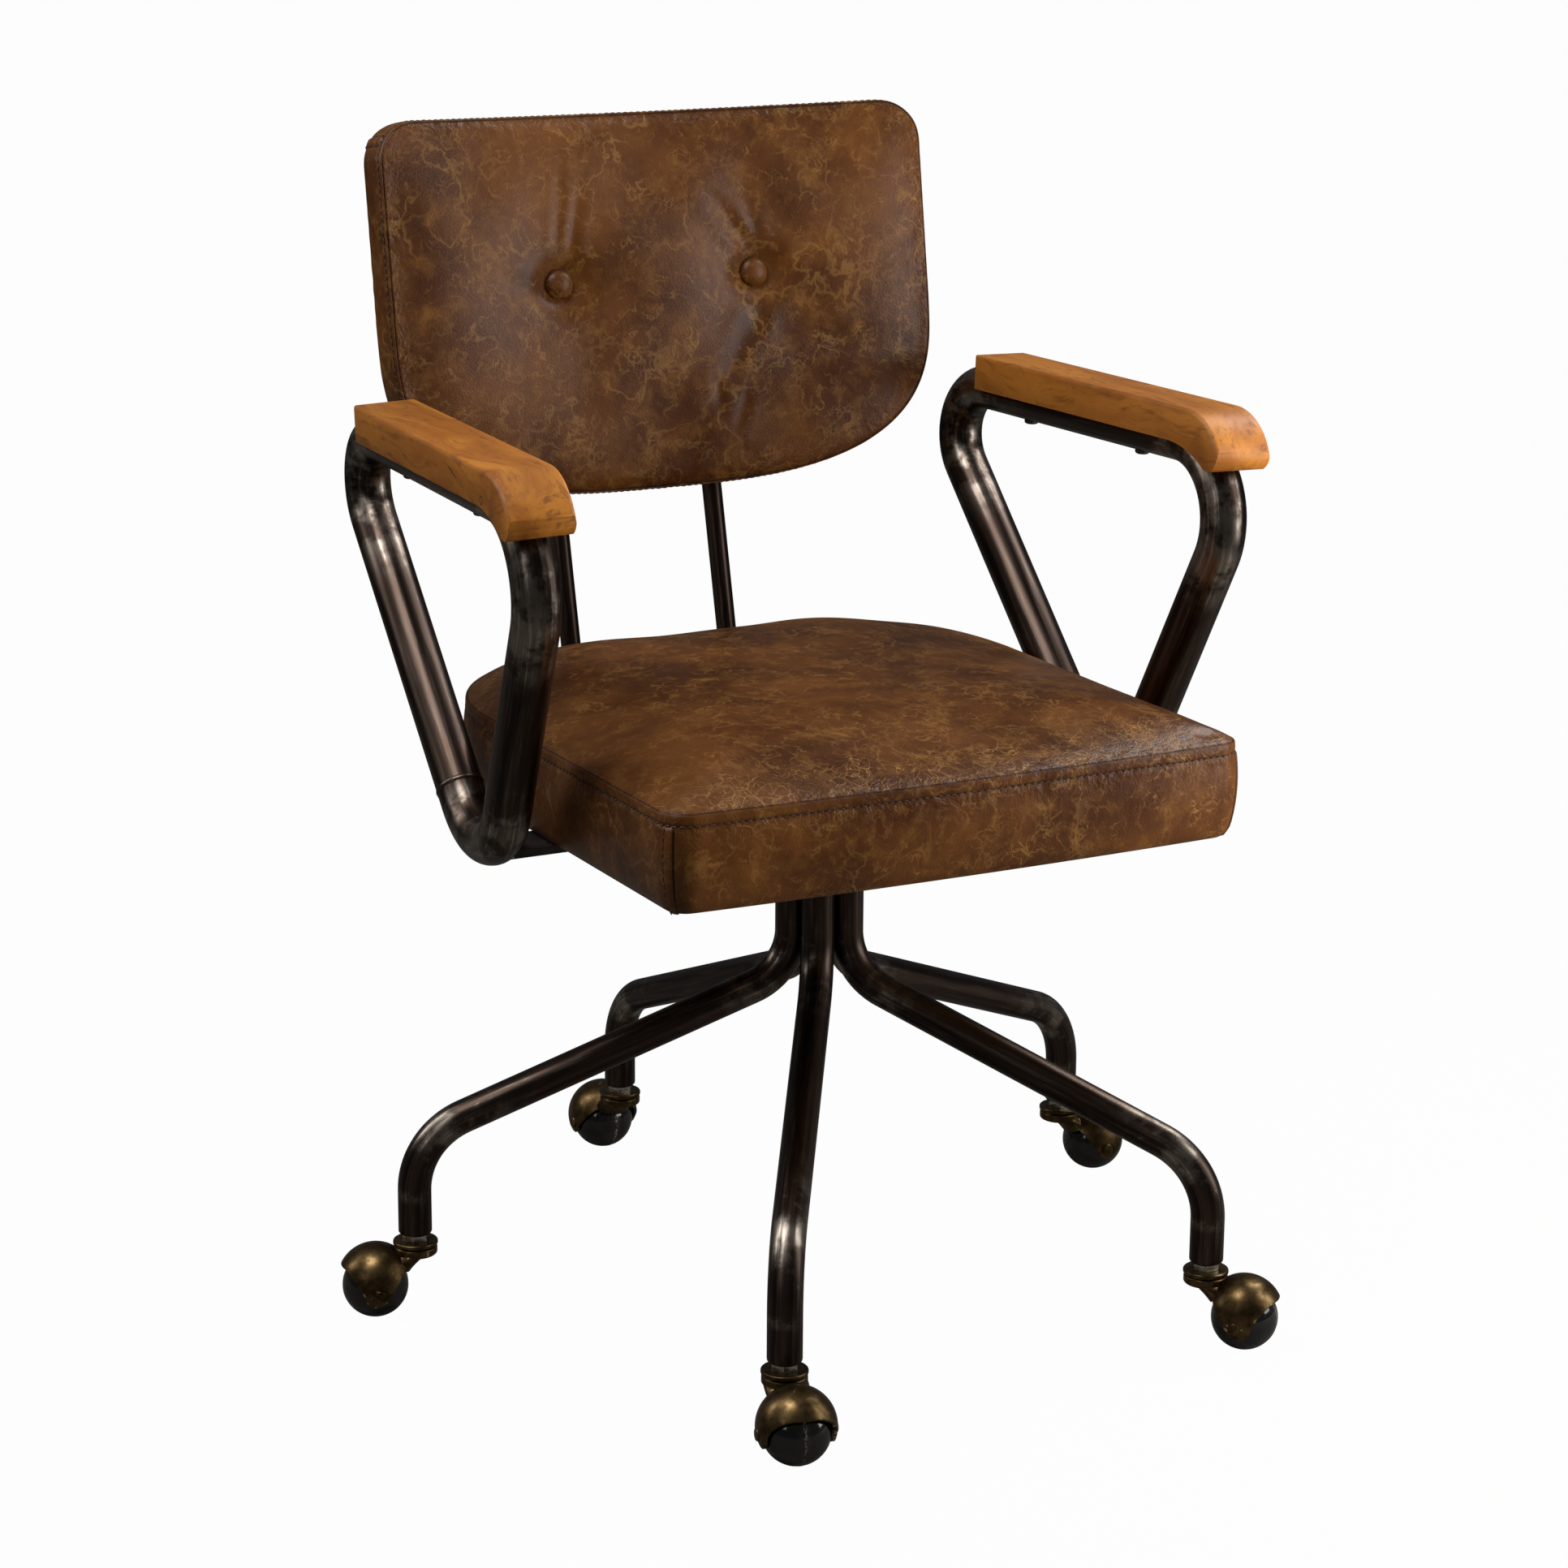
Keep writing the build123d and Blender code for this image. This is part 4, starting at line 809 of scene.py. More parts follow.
def arm_route(side):
    """The triangular loop, from the weld down round the foot, up to the pad and back to the weld."""
    corners = [
        (WELD, 0.0, 1.0, 0.4),
        ((0, 0, 0), ARM_FOOT_BEND, 1.0, 0.9),
        ((0, RAIL_FRONT, ARM_RAIL_H), ARM_FRONT_BEND, 1.0, 1.0),
        ((0, RAIL_REAR, ARM_RAIL_H), ARM_REAR_BEND, 1.0, 1.0),
        (WELD, 0.0, 1.0, 0.4),
    ]
    stand = arm_place(side)
    route = with_runs([(Vector(c[0]), *c[1:]) for c in corners])
    return [(stand @ Vector(p[0]), *p[1:]) for p in route]


def weld_bead(side, name):
    """Slightly lumpy ring of weld round the butt joint of an arm."""
    axis = Vector((0, WELD[1], WELD[2])).normalized()
    across = Vector((1, 0, 0))
    third = axis.cross(across)
    turns, ribs = 64, 8
    sunk, half_height, half_width = 0.4 * MM, 1.1 * MM, 2.4 * MM
    points, faces = [], []
    for i in range(turns):
        angle = 2 * math.pi * i / turns
        out = across * math.cos(angle) + third * math.sin(angle)
        lump = 1 + 0.16 * math.sin(11 * angle) + 0.1 * math.sin(23 * angle + 1)
        for j in range(ribs):
            turn = 2 * math.pi * j / ribs
            place = out * (ARM_R - sunk + half_height * lump * math.cos(turn))
            place += axis * (half_width * math.sin(turn))
            points.append(arm_place(side) @ (Vector(WELD) + place))
            this, nxt, rib = i * ribs, (i + 1) % turns * ribs, (j + 1) % ribs
            faces.append((this + j, nxt + j, nxt + rib, this + rib))
    mesh = mesh_of(name, points, faces, TUBE)
    mark_points(mesh, "rub", [0.8] * len(mesh.vertices))
    piece = add_object(name, mesh)
    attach(piece, "seat")


def strut_route(side):
    """One back strut from under the seat up behind the back, its top end drawn in."""
    lean = math.radians(STRUT_LEAN)
    top = Vector((side * STRUT_X, STRUT_CORNER_Y + (STRUT_TOP_Z - STRUT_RUN_Z) * math.tan(lean), STRUT_TOP_Z))
    down = Vector((0, -math.sin(lean), -math.cos(lean)))
    corners = [
        ((side * STRUT_X, STRUT_START_Y, STRUT_RUN_Z), 0.0, 1.0, 0.0),
        ((side * STRUT_X, STRUT_CORNER_Y, STRUT_RUN_Z), STRUT_BEND, 1.0, 0.8),
        (top + down * 2 * MM, 0.0, 1.0, 0.0),
    ]
    return with_runs(corners)[:-1] + rounded_end(top, down, 2 * MM, STRUT_R)


for k in range(5):
    spin = Matrix.Rotation(math.radians(LEG_FIRST_ANGLE + 72 * k), 4, "Z")
    tube(f"leg_tube_{k + 1}", leg_route(spin), LEG_R, "base", f"base_leg_{k + 1}")
for side, hand in HANDS:
    tube(f"arm_loop_{hand}", arm_route(side), ARM_R, "seat", f"arm_tube_{hand}", sides=48, bend_steps=24)
    weld_bead(side, f"arm_weld_{hand}")
    tube(f"strut_tube_{hand}", strut_route(side), STRUT_R, "seat", f"back_strut_{hand}", sides=28)


# Boxed cushions


def outline_columns(half, corner, spacing):
    """Places across a cushion, closer together towards its rounded corners."""
    flat = half - corner
    count = int(flat / spacing)
    inner = [flat * i / count for i in range(count)]
    outer = [flat + corner * math.sin(math.pi / 2 * i / 11) for i in range(12)]
    right = inner + outer
    return [-x for x in reversed(right[1:])] + right


def panel_grid(columns, low, high, rows):
    """Grid of plan points between two outline curves, as an array of columns by rows by two."""
    grid = np.zeros((len(columns), rows + 1, 2))
    steps = np.linspace(0, 1, rows + 1)
    for i, x in enumerate(columns):
        grid[i, :, 0] = x
        grid[i, :, 1] = low(x) + (high(x) - low(x)) * steps
    return grid


def rim_order(columns, rows):
    """Grid places round the edge of a panel, counter-clockwise seen from its face."""
    order = [(i, 0) for i in range(columns)]
    order += [(columns - 1, j) for j in range(1, rows + 1)]
    order += [(i, rows) for i in range(columns - 2, -1, -1)]
    order += [(0, j) for j in range(rows - 1, 0, -1)]
    return order


class Rim:
    """Closed plan outline of a panel: its points, outward normals and distance run along it."""

    def __init__(self, grid):
        columns, rows = grid.shape[0], grid.shape[1] - 1
        self.order = rim_order(columns, rows)
        self.numbers = [i * (rows + 1) + j for i, j in self.order]
        self.points = np.array([grid[i, j] for i, j in self.order])
        ahead = np.roll(self.points, -1, axis=0) - np.roll(self.points, 1, axis=0)
        out = np.stack([ahead[:, 1], -ahead[:, 0]], axis=1)
        self.out = out / np.maximum(np.linalg.norm(out, axis=1, keepdims=True), 1e-9)
        steps = np.linalg.norm(np.roll(self.points, -1, axis=0) - self.points, axis=1)
        self.length = steps.sum()
        self.run = np.concatenate([[0.0], np.cumsum(steps)[:-1]])

    def nearest(self, points):
        """Shortest distance from plan points to the outline, and how far along it that is."""
        best, where = np.full(len(points), 1e9), np.zeros(len(points))
        for start, end, run in zip(self.points, np.roll(self.points, -1, axis=0), self.run):
            step = end - start
            share = np.clip(((points - start) @ step) / max(step @ step, 1e-12), 0, 1)
            gap = np.linalg.norm(points - start - share[:, None] * step, axis=1)
            closer = gap < best
            best[closer] = gap[closer]
            where[closer] = run + share[closer] * math.sqrt(step @ step)
        return best, where

    def read(self, values, run):
        """Values given at the outline's points, read at any distance along it."""
        runs = np.append(self.run, self.length)
        columns = np.asarray(values).T
        return np.array([np.interp(run % self.length, runs, np.append(v, v[0])) for v in columns])


def gathers(run):
    """Uneven little waves that stitching draws up along a seam, between -1 and 1."""
    wave = np.sin(2 * np.pi * run / 0.0163 + 1.7 * np.sin(2 * np.pi * run / 0.091))
    swell = 0.35 * np.sin(2 * np.pi * run / 0.147 + 0.8)
    return wave * (0.45 + swell + 0.2 * np.sin(2 * np.pi * run / 0.049))


def boxed_mesh(name, grid, rim, face_depth, rings, to_world, craze):
    """Cushion cover: a face panel and rings of boxing round its rim, open inside the last ring.

    Rings are an outward offset, a depth or a function of plan place giving it, how much painted shade darkens
    the crease, and how near the seam is; craze gives how much the hide flexes at a plan place. Returns the
    mesh and the numbers of each ring's points, the panel's rim first.
    """
    columns, rows = grid.shape[0], grid.shape[1] - 1
    plan = grid.reshape(-1, 2)
    reach, run = rim.nearest(plan)
    seam = np.exp(-reach / (11 * MM))
    waves = 0.45 * MM * gathers(run) * np.exp(-reach / (9 * MM)) * np.minimum(reach / (4 * MM), 1)
    lifted = face_depth.reshape(-1) + waves
    points = [to_world(x, y, d) for (x, y), d in zip(plan, lifted)]
    crease_shades, near, crazed = [0.0] * len(points), list(seam), [craze(x, y) for x, y in plan]
    faces = []
    for i in range(columns - 1):
        for j in range(rows):
            corner = i * (rows + 1) + j
            faces.append((corner, corner + rows + 1, corner + rows + 2, corner + 1))
    loops = [rim.numbers]
    # The panel's rim seam gets a little painted shade
    for number in rim.numbers:
        crease_shades[number] = 0.25
    count = len(rim.numbers)
    for offset, depth, crease, gather in rings:
        loop = []
        for place, out, where in zip(rim.points, rim.out, rim.run):
            spot = place + out * (offset + 0.5 * MM * gather * gathers(where))
            loop.append(len(points))
            points.append(to_world(*spot, depth(*spot) if callable(depth) else depth))
            crease_shades.append(crease)
            near.append(gather)
            crazed.append(0.35 * craze(*spot))
        last = loops[-1]
        faces += [(last[k], loop[k], loop[(k + 1) % count], last[(k + 1) % count]) for k in range(count)]
        loops.append(loop)
    mesh = mesh_of(name, points, faces, HIDE, merge=False)
    mark_points(mesh, "crease", crease_shades)
    mark_points(mesh, "seam_near", near)
    mark_points(mesh, "craze", crazed)
    return mesh, loops


def puff(piece, free, pressure, slack, cap, frames=20):
    """Blow a sewn cover out with cloth simulation and ease the result.

    free is how far each point may follow, from 0 to 1, slack the extra cloth and cap the longest move.
    """
    before = np.zeros(len(piece.data.vertices) * 3)
    piece.data.vertices.foreach_get("co", before)
    group = piece.vertex_groups.new(name="sewn")
    for number, freedom in enumerate(free):
        if freedom < 0.999:
            group.add([number], 1.0 - freedom, "REPLACE")
    cloth = piece.modifiers.new("puff", "CLOTH")
    cloth.settings.quality = 6
    cloth.settings.mass = 0.35
    cloth.settings.tension_stiffness = 18
    cloth.settings.compression_stiffness = 18
    cloth.settings.shear_stiffness = 10
    cloth.settings.bending_stiffness = 4
    cloth.settings.vertex_group_mass = group.name
    cloth.settings.use_pressure = True
    cloth.settings.uniform_pressure_force = pressure
    cloth.settings.shrink_min = -slack
    cloth.settings.effector_weights.gravity = 0
    cloth.collision_settings.use_collision = False
    cloth.collision_settings.use_self_collision = False
    scene = bpy.context.scene
    for number in range(1, frames + 1):
        scene.frame_set(number)
    graph = bpy.context.evaluated_depsgraph_get()
    after = np.zeros_like(before)
    piece.evaluated_get(graph).data.vertices.foreach_get("co", after)
    piece.modifiers.clear()
    piece.vertex_groups.clear()
    scene.frame_set(1)
    move = (after - before).reshape(-1, 3)
    size = np.linalg.norm(move, axis=1, keepdims=True)
    move *= np.minimum(1, cap / np.maximum(size, 1e-9)) * np.asarray(free)[:, None]
    ends = np.zeros(len(piece.data.edges) * 2, dtype=int)
    piece.data.edges.foreach_get("vertices", ends)
    ends = np.concatenate([ends.reshape(-1, 2), ends.reshape(-1, 2)[:, ::-1]])
    shares = np.bincount(ends[:, 0], minlength=len(move)) + 1.0
    for _ in range(EASING_ROUNDS):
        total = move.copy()
        np.add.at(total, ends[:, 0], move[ends[:, 1]])
        move = total / shares[:, None] * (np.asarray(free) > 0)[:, None]
    piece.data.vertices.foreach_set("co", (before.reshape(-1, 3) + move).reshape(-1))
    piece.data.update()


def finish_padded(piece, fill, *stood_for):
    """One level of subdivision and a cover inside the open ring; then it is attached to the seat."""
    smooth = piece.modifiers.new("smooth", "SUBSURF")
    smooth.levels = 1
    smooth.render_levels = 1
    settle(piece)
    work = bmesh.new()
    work.from_mesh(piece.data)
    cover = bmesh.ops.holes_fill(work, edges=[e for e in work.edges if e.is_boundary], sides=0)
    bmesh.ops.triangulate(work, faces=cover["faces"])
    work.to_mesh(piece.data)
    work.free()
    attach(piece, "seat")
    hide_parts(*stood_for)


def seat_front(x):
    """Front edge of the seat at the seam."""
    flat = SEAT_HALF_W - SEAT_SEAM_INSET - SEAT_FRONT_CORNER
    front = SEAT_FRONT_Y + SEAT_SEAM_INSET
    if abs(x) <= flat:
        return front - SEAT_FRONT_BOW * (1 - (x / flat) ** 2)
    past = min((abs(x) - flat) / SEAT_FRONT_CORNER, 1)
    return front + SEAT_FRONT_CORNER * (1 - math.sqrt(1 - past**2))


def seat_rear(x):
    """Rear edge of the seat at the seam."""
    radius = SEAT_REAR_CORNER - SEAT_SEAM_INSET
    flat = SEAT_HALF_W - SEAT_SEAM_INSET - radius
    past = min(max(abs(x) - flat, 0) / radius, 1)
    return SEAT_REAR_Y - SEAT_SEAM_INSET - radius * (1 - math.sqrt(1 - past**2))


def seat_rings():
    """Seam, folded and topstitched edge, boxing and turned-under hem of the seat."""
    # Each ring: outward offset and depth in mm, painted shade in its crease, nearness of the seam
    rings = [
        (0.7, 0.9, 1.0, 0.2),
        (1.1, 0.5, 0.35, 0.2),
        (1.6, 1.2, 0.0, 0.3),
        (1.8, 3.2, 0.0, 0.5),
        (1.9, 6.0, 0.0, 0.7),
        (1.8, 7.6, 0.2, 0.8),
        (1.2, 8.6, 0.8, 0.8),
        (1.9, 9.6, 0.15, 1.0),
        (2.3, 12.0, 0.0, 1.0),
    ]
    tall = (SEAT_SEAM_Z - SEAT_BASE_Z) / MM
    seam, hem = SEAT_SEAM_INSET / MM, SEAT_HEM_INSET / MM
    for depth in (16.0, 21.0, 27.0, 34.0, 41.0, 48.0, 55.0, 61.0, 66.0):
        share = depth / tall
        swell = seam * (1 - (2 * share - 1) ** 2) - (hem - seam) * share**2
        rings.append((swell, depth, 0.0, math.exp(-(depth - 12) / 9)))
    board = seam - BOARD_INSET / MM + 0.4
    rings += [
        (seam - hem - 0.6, tall - 3.5, 0.0, 0.0),
        (seam - hem - 2.0, tall - 1.0, 0.0, 0.0),
        (seam - hem - 4.5, tall, 0.1, 0.0),
        (board, tall, 0.3, 0.0),
        (board, tall - BOARD_T / MM - 0.4, 0.3, 0.0),
    ]
    return [(offset * MM, -depth * MM, crease, gather) for offset, depth, crease, gather in rings]


def make_seat():
    """Seat cushion: crowned top panel sewn to a topstitched boxing band."""
    rows = 92
    columns = outline_columns(SEAT_HALF_W - SEAT_SEAM_INSET, SEAT_FRONT_CORNER, 5.2 * MM)
    grid = panel_grid(columns, seat_front, seat_rear, rows)
    rim = Rim(grid)
    plan = grid.reshape(-1, 2)
    reach = rim.nearest(plan)[0]
    depth = SEAT_CROWN * (1 - np.exp(-reach / SEAT_CROWN_RUN))
    for side in (-1, 1):
        away = (plan - (side * SEAT_DENT_X, SEAT_FRONT_Y + SEAT_DENT_Y)) / SEAT_DENT_SIZE
        depth -= SEAT_DENT_DEPTH * np.exp(-(away**2).sum(1))
    mesh, loops = boxed_mesh(
        "seat_cushion_hide",
        grid,
        rim,
        depth,
        seat_rings(),
        lambda x, y, d: (x, y, SEAT_SEAM_Z + d),
        lambda x, y: math.exp(-max(y - SEAT_FRONT_Y - SEAT_FLEX_START, 0) / SEAT_FLEX_RUN),
    )
    piece = add_object("seat_cushion_hide", mesh)
    free = np.zeros(len(mesh.vertices))
    free[: len(plan)] = np.clip(reach / (12 * MM), 0, 1)
    swelling = loops[SEAT_SWELL_RINGS]
    for place, loop in enumerate(swelling):
        free[loop] = math.sin(math.pi * (place + 0.5) / len(swelling)) * 0.7
    puff(piece, free, pressure=2.2, slack=0.008, cap=6 * MM)
    return piece, loops, rim


def back_low(x):
    """Bottom edge of the back, a broad rounded sweep."""
    share = min(abs(x) / BACK_HALF_W, 1)
    return BACK_BOTTOM + BACK_LOW_RISE * (1 - (1 - share**3) ** (1 / 3))


def back_high(x):
    """Top edge of the back."""
    past = min(max(abs(x) - (BACK_HALF_W - BACK_TOP_CORNER), 0) / BACK_TOP_CORNER, 1)
    return BACK_TOP - BACK_TOP_CORNER * (1 - math.sqrt(1 - past**2))


def back_world(x, v, n):
    """From the back's own frame to the chair's: n is the depth behind the seam line on the wings' curve."""
    depth = n - BACK_WING * (x / BACK_HALF_W) ** 2
    y = BACK_MID[1] + depth * math.cos(BACK_LEAN) + v * math.sin(BACK_LEAN)
    return (x, y, BACK_MID[2] - depth * math.sin(BACK_LEAN) + v * math.cos(BACK_LEAN))


def back_rear(x, v):
    """Depth of the rear face, crowned between the top and bottom edges."""
    low, high = back_low(x), back_high(x)
    middle, half = (low + high) / 2, max((high - low) / 2, 1e-4)
    crown = 1 * MM + BACK_REAR_CROWN * max(1 - (x / BACK_HALF_W) ** 2, 0)
    return BACK_EDGE_T + crown * max(1 - ((v - middle) / half) ** 2, 0)


def fold_depth(plan, start, end, depth, width):
    """How far one fold sinks the panel: a narrow groove with raised lips, deepest near its start."""
    start, end = np.array(start) * MM, np.array(end) * MM
    run = end - start
    share = np.clip(((plan - start) @ run) / (run @ run), 0, 1)
    gap = np.linalg.norm(plan - start - share[:, None] * run, axis=1) / (width * MM)
    fade = (1 - share) ** 0.8 * np.minimum(1, share * 6 + 0.35)
    return depth * MM * fade * (np.exp(-(gap**2)) - 0.45 * np.exp(-((gap - 1.7) ** 2) * 1.4))


def make_back():
    """Back cushion: buttoned front panel, topstitched boxing, and the rear margin round the rear panel."""
    rows = 74
    columns = outline_columns(BACK_HALF_W, BACK_TOP_CORNER, 4.4 * MM)
    grid = panel_grid(columns, back_low, back_high, rows)
    rim = Rim(grid)
    plan = grid.reshape(-1, 2)
    depth = np.zeros(grid.shape[:2])
    for i, x in enumerate(columns):
        low, high = back_low(x), back_high(x)
        middle, half = (low + high) / 2, (high - low) / 2
        crown = 1 * MM + BACK_FRONT_CROWN * (1 - (x / BACK_HALF_W) ** 2)
        rise = np.sqrt(np.maximum(1 - np.abs((grid[i, :, 1] - middle) / half) ** 2.4, 0))
        depth[i] = -crown * rise
    depth = depth.reshape(-1)
    free = np.clip(rim.nearest(plan)[0] / (12 * MM), 0, 1)
    for side in (-1, 1):
        away = np.linalg.norm(plan - (side * BUTTON_X, BUTTON_V), axis=1)
        depth += BUTTON_DENT_DEPTH * np.exp(-((away / BUTTON_DENT_RUN) ** 2.4))
        free *= np.clip((away - 10 * MM) / (22 * MM), 0, 1)
    for fold in FOLDS:
        depth += fold_depth(plan, *fold)
    # Each ring: outward offset and depth in mm, painted shade in its crease, nearness of the seam
    rings = [
        (0.8, 0.9, 1.0, 0.2),
        (1.3, 0.1, 0.0, 0.1),
        (1.9, 0.6, 0.0, 0.1),
        (2.3, 2.2, 0.0, 0.3),
        (2.3, 4.2, 0.15, 0.5),
        (1.8, 5.2, 0.8, 0.5),
        (2.3, 6.2, 0.1, 0.6),
        (2.5, 9.0, 0.0, 0.7),
        (2.6, 14.0, 0.0, 0.4),
        (2.6, 20.0, 0.0, 0.15),
        (2.5, 26.0, 0.0, 0.15),
        (2.3, 31.0, 0.0, 0.4),
        (1.6, 35.5, 0.0, 0.5),
        (0.4, 38.4, 0.0, 0.4),
        (-0.8, 39.6, 0.2, 0.3),
    ]
    rings = [(offset * MM, deep * MM, crease, gather) for offset, deep, crease, gather in rings]
    margin = ((-4, 0.0, 0.4), (-10, 0.0, 0.4), (-17, 0.0, 0.5), (-23, 0.0, 0.6), (-25, 0.3, 0.4))
    rings += [(offset * MM, back_rear, crease, gather) for offset, crease, gather in margin]
    # The rear panel's let-in edge gets the deepest painted shade
    inset = -BACK_BOARD_INSET + 0.2 * MM
    rings.append((inset, lambda x, v: back_rear(x, v) - 1.2 * MM, 1.0, 0.0))
    rings.append((inset, lambda x, v: back_rear(x, v) - 9 * MM, 0.5, 0.0))
    mesh, loops = boxed_mesh("back_cushion_hide", grid, rim, depth, rings, back_world, lambda x, v: BACK_FLEX)
    piece = add_object("back_cushion_hide", mesh)
    everywhere = np.zeros(len(mesh.vertices))
    everywhere[: len(plan)] = free
    puff(piece, everywhere, pressure=1.8, slack=0.006, cap=5 * MM)
    return piece, loops, rim


def make_rear_panel(rim):
    """Rear panel of the back: hide over a board, let into the margin, its edge rolled over."""
    edge = rim.points - rim.out * BACK_BOARD_INSET
    middle = edge.mean(axis=0)
    levels = [(1.0, -8.0), (1.0, -2.0), (0.999, -0.7), (0.995, 0.1), (0.985, 0.6), (0.96, 0.9)]
    levels += [(share, 1.0) for share in (0.92, 0.86, 0.78, 0.69, 0.6, 0.5, 0.4, 0.3, 0.2, 0.1, 0.03)]
    points, crease_shades = [], []
    for share, lift in levels:
        for place in edge:
            spot = middle + (place - middle) * share
            points.append(back_world(*spot, back_rear(*spot) + lift * MM))
            # Painted shade where the edge tucks under into the margin
            crease_shades.append(0.6 if lift < 0 else 0.0)
    faces = ring_faces(len(levels), len(edge)) + end_faces(len(levels), len(edge))
    mesh = mesh_of("back_rear_panel", points, faces, HIDE, merge=False)
    for face in mesh.polygons:
        face.use_smooth = len(face.vertices) == 4
    mark_points(mesh, "crease", crease_shades)
    piece = add_object("back_rear_panel", mesh)
    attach(piece, "seat")
    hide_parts("back_board")


seat, seat_loops, seat_rim = make_seat()
back, back_loops, back_rim = make_back()
finish_padded(seat, PAD_FILL, "seat_cushion")
finish_padded(back, PAD_FILL, "back_cushion")
make_rear_panel(back_rim)


# Stitching and sewn-on strips


def stitch_tree():
    """One short thread every pitch along a path, lying on the surface that the path follows."""
    tree, given = new_tree(
        "row_of_stitches",
        {"Pitch": "Float", "Stitch length": "Float", "Thread width": "Float", "Finish": "Material"},
    )
    path = put(tree, "GeometryNodeMeshToCurve", {"Mesh": given.outputs["Geometry"]}, 0)
    spaced = put(
        tree, "GeometryNodeResampleCurve", {"Curve": path, "Length": given.outputs["Pitch"]}, 0, mode="LENGTH"
    )
    ahead = put(tree, "GeometryNodeInputTangent", None, 0)
    outward = put(tree, "GeometryNodeInputNamedAttribute", {"Name": "outward"}, 0, data_type="FLOAT_VECTOR")
    turn = put(tree, "FunctionNodeAlignRotationToVector", {"Vector": ahead}, 0, axis="X")
    turn = put(
        tree,
        "FunctionNodeAlignRotationToVector",
        {"Rotation": turn, "Vector": outward},
        0,
        axis="Z",
        pivot_axis="X",
    )
    thread = put(tree, "GeometryNodeMeshUVSphere", {"Segments": 8, "Rings": 5, "Radius": 0.5}, 0)
    width = given.outputs["Thread width"]
    size = put(tree, "ShaderNodeCombineXYZ", {0: given.outputs["Stitch length"], 1: width, 2: width}, 0)
    thread = put(tree, "GeometryNodeTransform", {"Geometry": thread, "Scale": size}, 0)
    thread = put(tree, "GeometryNodeSetShadeSmooth", {"Geometry": thread, "Shade Smooth": True}, 0)
    laid = put(
        tree, "GeometryNodeInstanceOnPoints", {"Points": spaced, "Instance": thread, "Rotation": turn}, 0
    )
    whole = put(tree, "GeometryNodeRealizeInstances", {0: laid}, 0)
    done = put(tree, "GeometryNodeSetMaterial", {"Geometry": whole, "Material": given.outputs["Finish"]}, 0)
    put(tree, "NodeGroupOutput", {0: done})
    return tree


STITCH_TREE = stitch_tree()


def stitch_rows(name, rows):
    """Stitches along rows of points, outward directions and whether the row closes on itself."""
    points, edges, outward = [], [], []
    for places, directions, closed in rows:
        first = len(points)
        points += [tuple(p) for p in places]
        outward += [c for d in directions for c in d]
        edges += [(first + k, first + k + 1) for k in range(len(places) - 1)]
        if closed:
            edges.append((len(points) - 1, first))
    mesh = bpy.data.meshes.new(name)
    mesh.from_pydata(points, edges, [])
    mesh.attributes.new("outward", "FLOAT_VECTOR", "POINT").data.foreach_set("vector", outward)
    piece = add_object(name, mesh)
    apply_tree(
        piece,
        STITCH_TREE,
        Pitch=STITCH_PITCH,
        Stitch_length=STITCH_PITCH * 0.8,
        Thread_width=1.0 * MM,
        Finish=THREAD,
    )
    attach(piece, "seat")


def ring_row(piece, loop, lift):
    """Row of stitches along one ring of a finished cushion, lifted off its surface."""
    spots = [piece.data.vertices[k] for k in loop]
    return [v.co + v.normal * lift for v in spots], [v.normal.copy() for v in spots], True


def sewn_strip(name, piece, rim, loops, corner, toward):
    """Folded strip along the boxing's upright seam at one corner; returns the path of its stitches."""
    # Strip profile in mm: across, lift, and painted shade in its folds and along its stitch line
    profile = [(-1.6, -0.6, 0.5), (-1.3, 0.12, 1.0), (-0.3, 0.15, 1.0), (0.1, 0.8, 0.35), (1.0, 1.25, 0.0)]
    profile += [(3.4, 1.15, 0.0), (5.3, 0.95, 0.0), (6.1, 0.6, 0.7), (6.9, 0.85, 0.0), (7.7, 0.4, 0.2)]
    profile += [(8.1, -0.6, 0.8), (8.1, -1.6, 0.0), (-1.6, -1.6, 0.0)]
    at = rim.run[int(np.argmax(rim.out @ np.array(corner)))]
    points, path, outward, crease_shades = [], [], [], []
    for loop in loops:
        places = np.array([piece.data.vertices[k].co for k in loop])
        normals = np.array([piece.data.vertices[k].normal for k in loop])
        for across, lift, crease in profile:
            crease_shades.append(crease)
            run = at + toward * across * MM
            out = rim.read(normals, run)
            points.append(rim.read(places, run) + out / np.linalg.norm(out) * lift * MM)
        run = at + toward * 6.1 * MM
        out = rim.read(normals, run)
        outward.append(out / np.linalg.norm(out))
        path.append(rim.read(places, run) + outward[-1] * 0.8 * MM)
    wide = len(profile)
    faces = ring_faces(len(loops), wide) + end_faces(len(loops), wide)
    mesh = mesh_of(name, points, faces, HIDE)
    mark_points(mesh, "crease", crease_shades)
    strip = add_object(name, mesh)
    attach(strip, "seat")
    return path[1:-1], outward[1:-1], False


seat_rows = [ring_row(seat, seat_loops[SEAT_STITCH_RING], 0.35 * MM)]
back_rows = [
    ring_row(back, back_loops[BACK_STITCH_RING], 0.35 * MM),
    ring_row(back, back_loops[BACK_REAR_STITCH_RING], 0.2 * MM),
]
for side, hand in HANDS:
    corner, name = (side * 0.7071, -0.7071), f"seat_corner_strip_{hand}"
    seat_rows.append(sewn_strip(name, seat, seat_rim, seat_loops[SEAT_SEAM_RINGS], corner, side))
    corner, name = (side * 0.7071, 0.7071), f"back_corner_strip_{hand}"
    back_rows.append(sewn_strip(name, back, back_rim, back_loops[BACK_SEAM_RINGS], corner, -side))
stitch_rows("seat_stitches", seat_rows)
stitch_rows("back_stitches", back_rows)


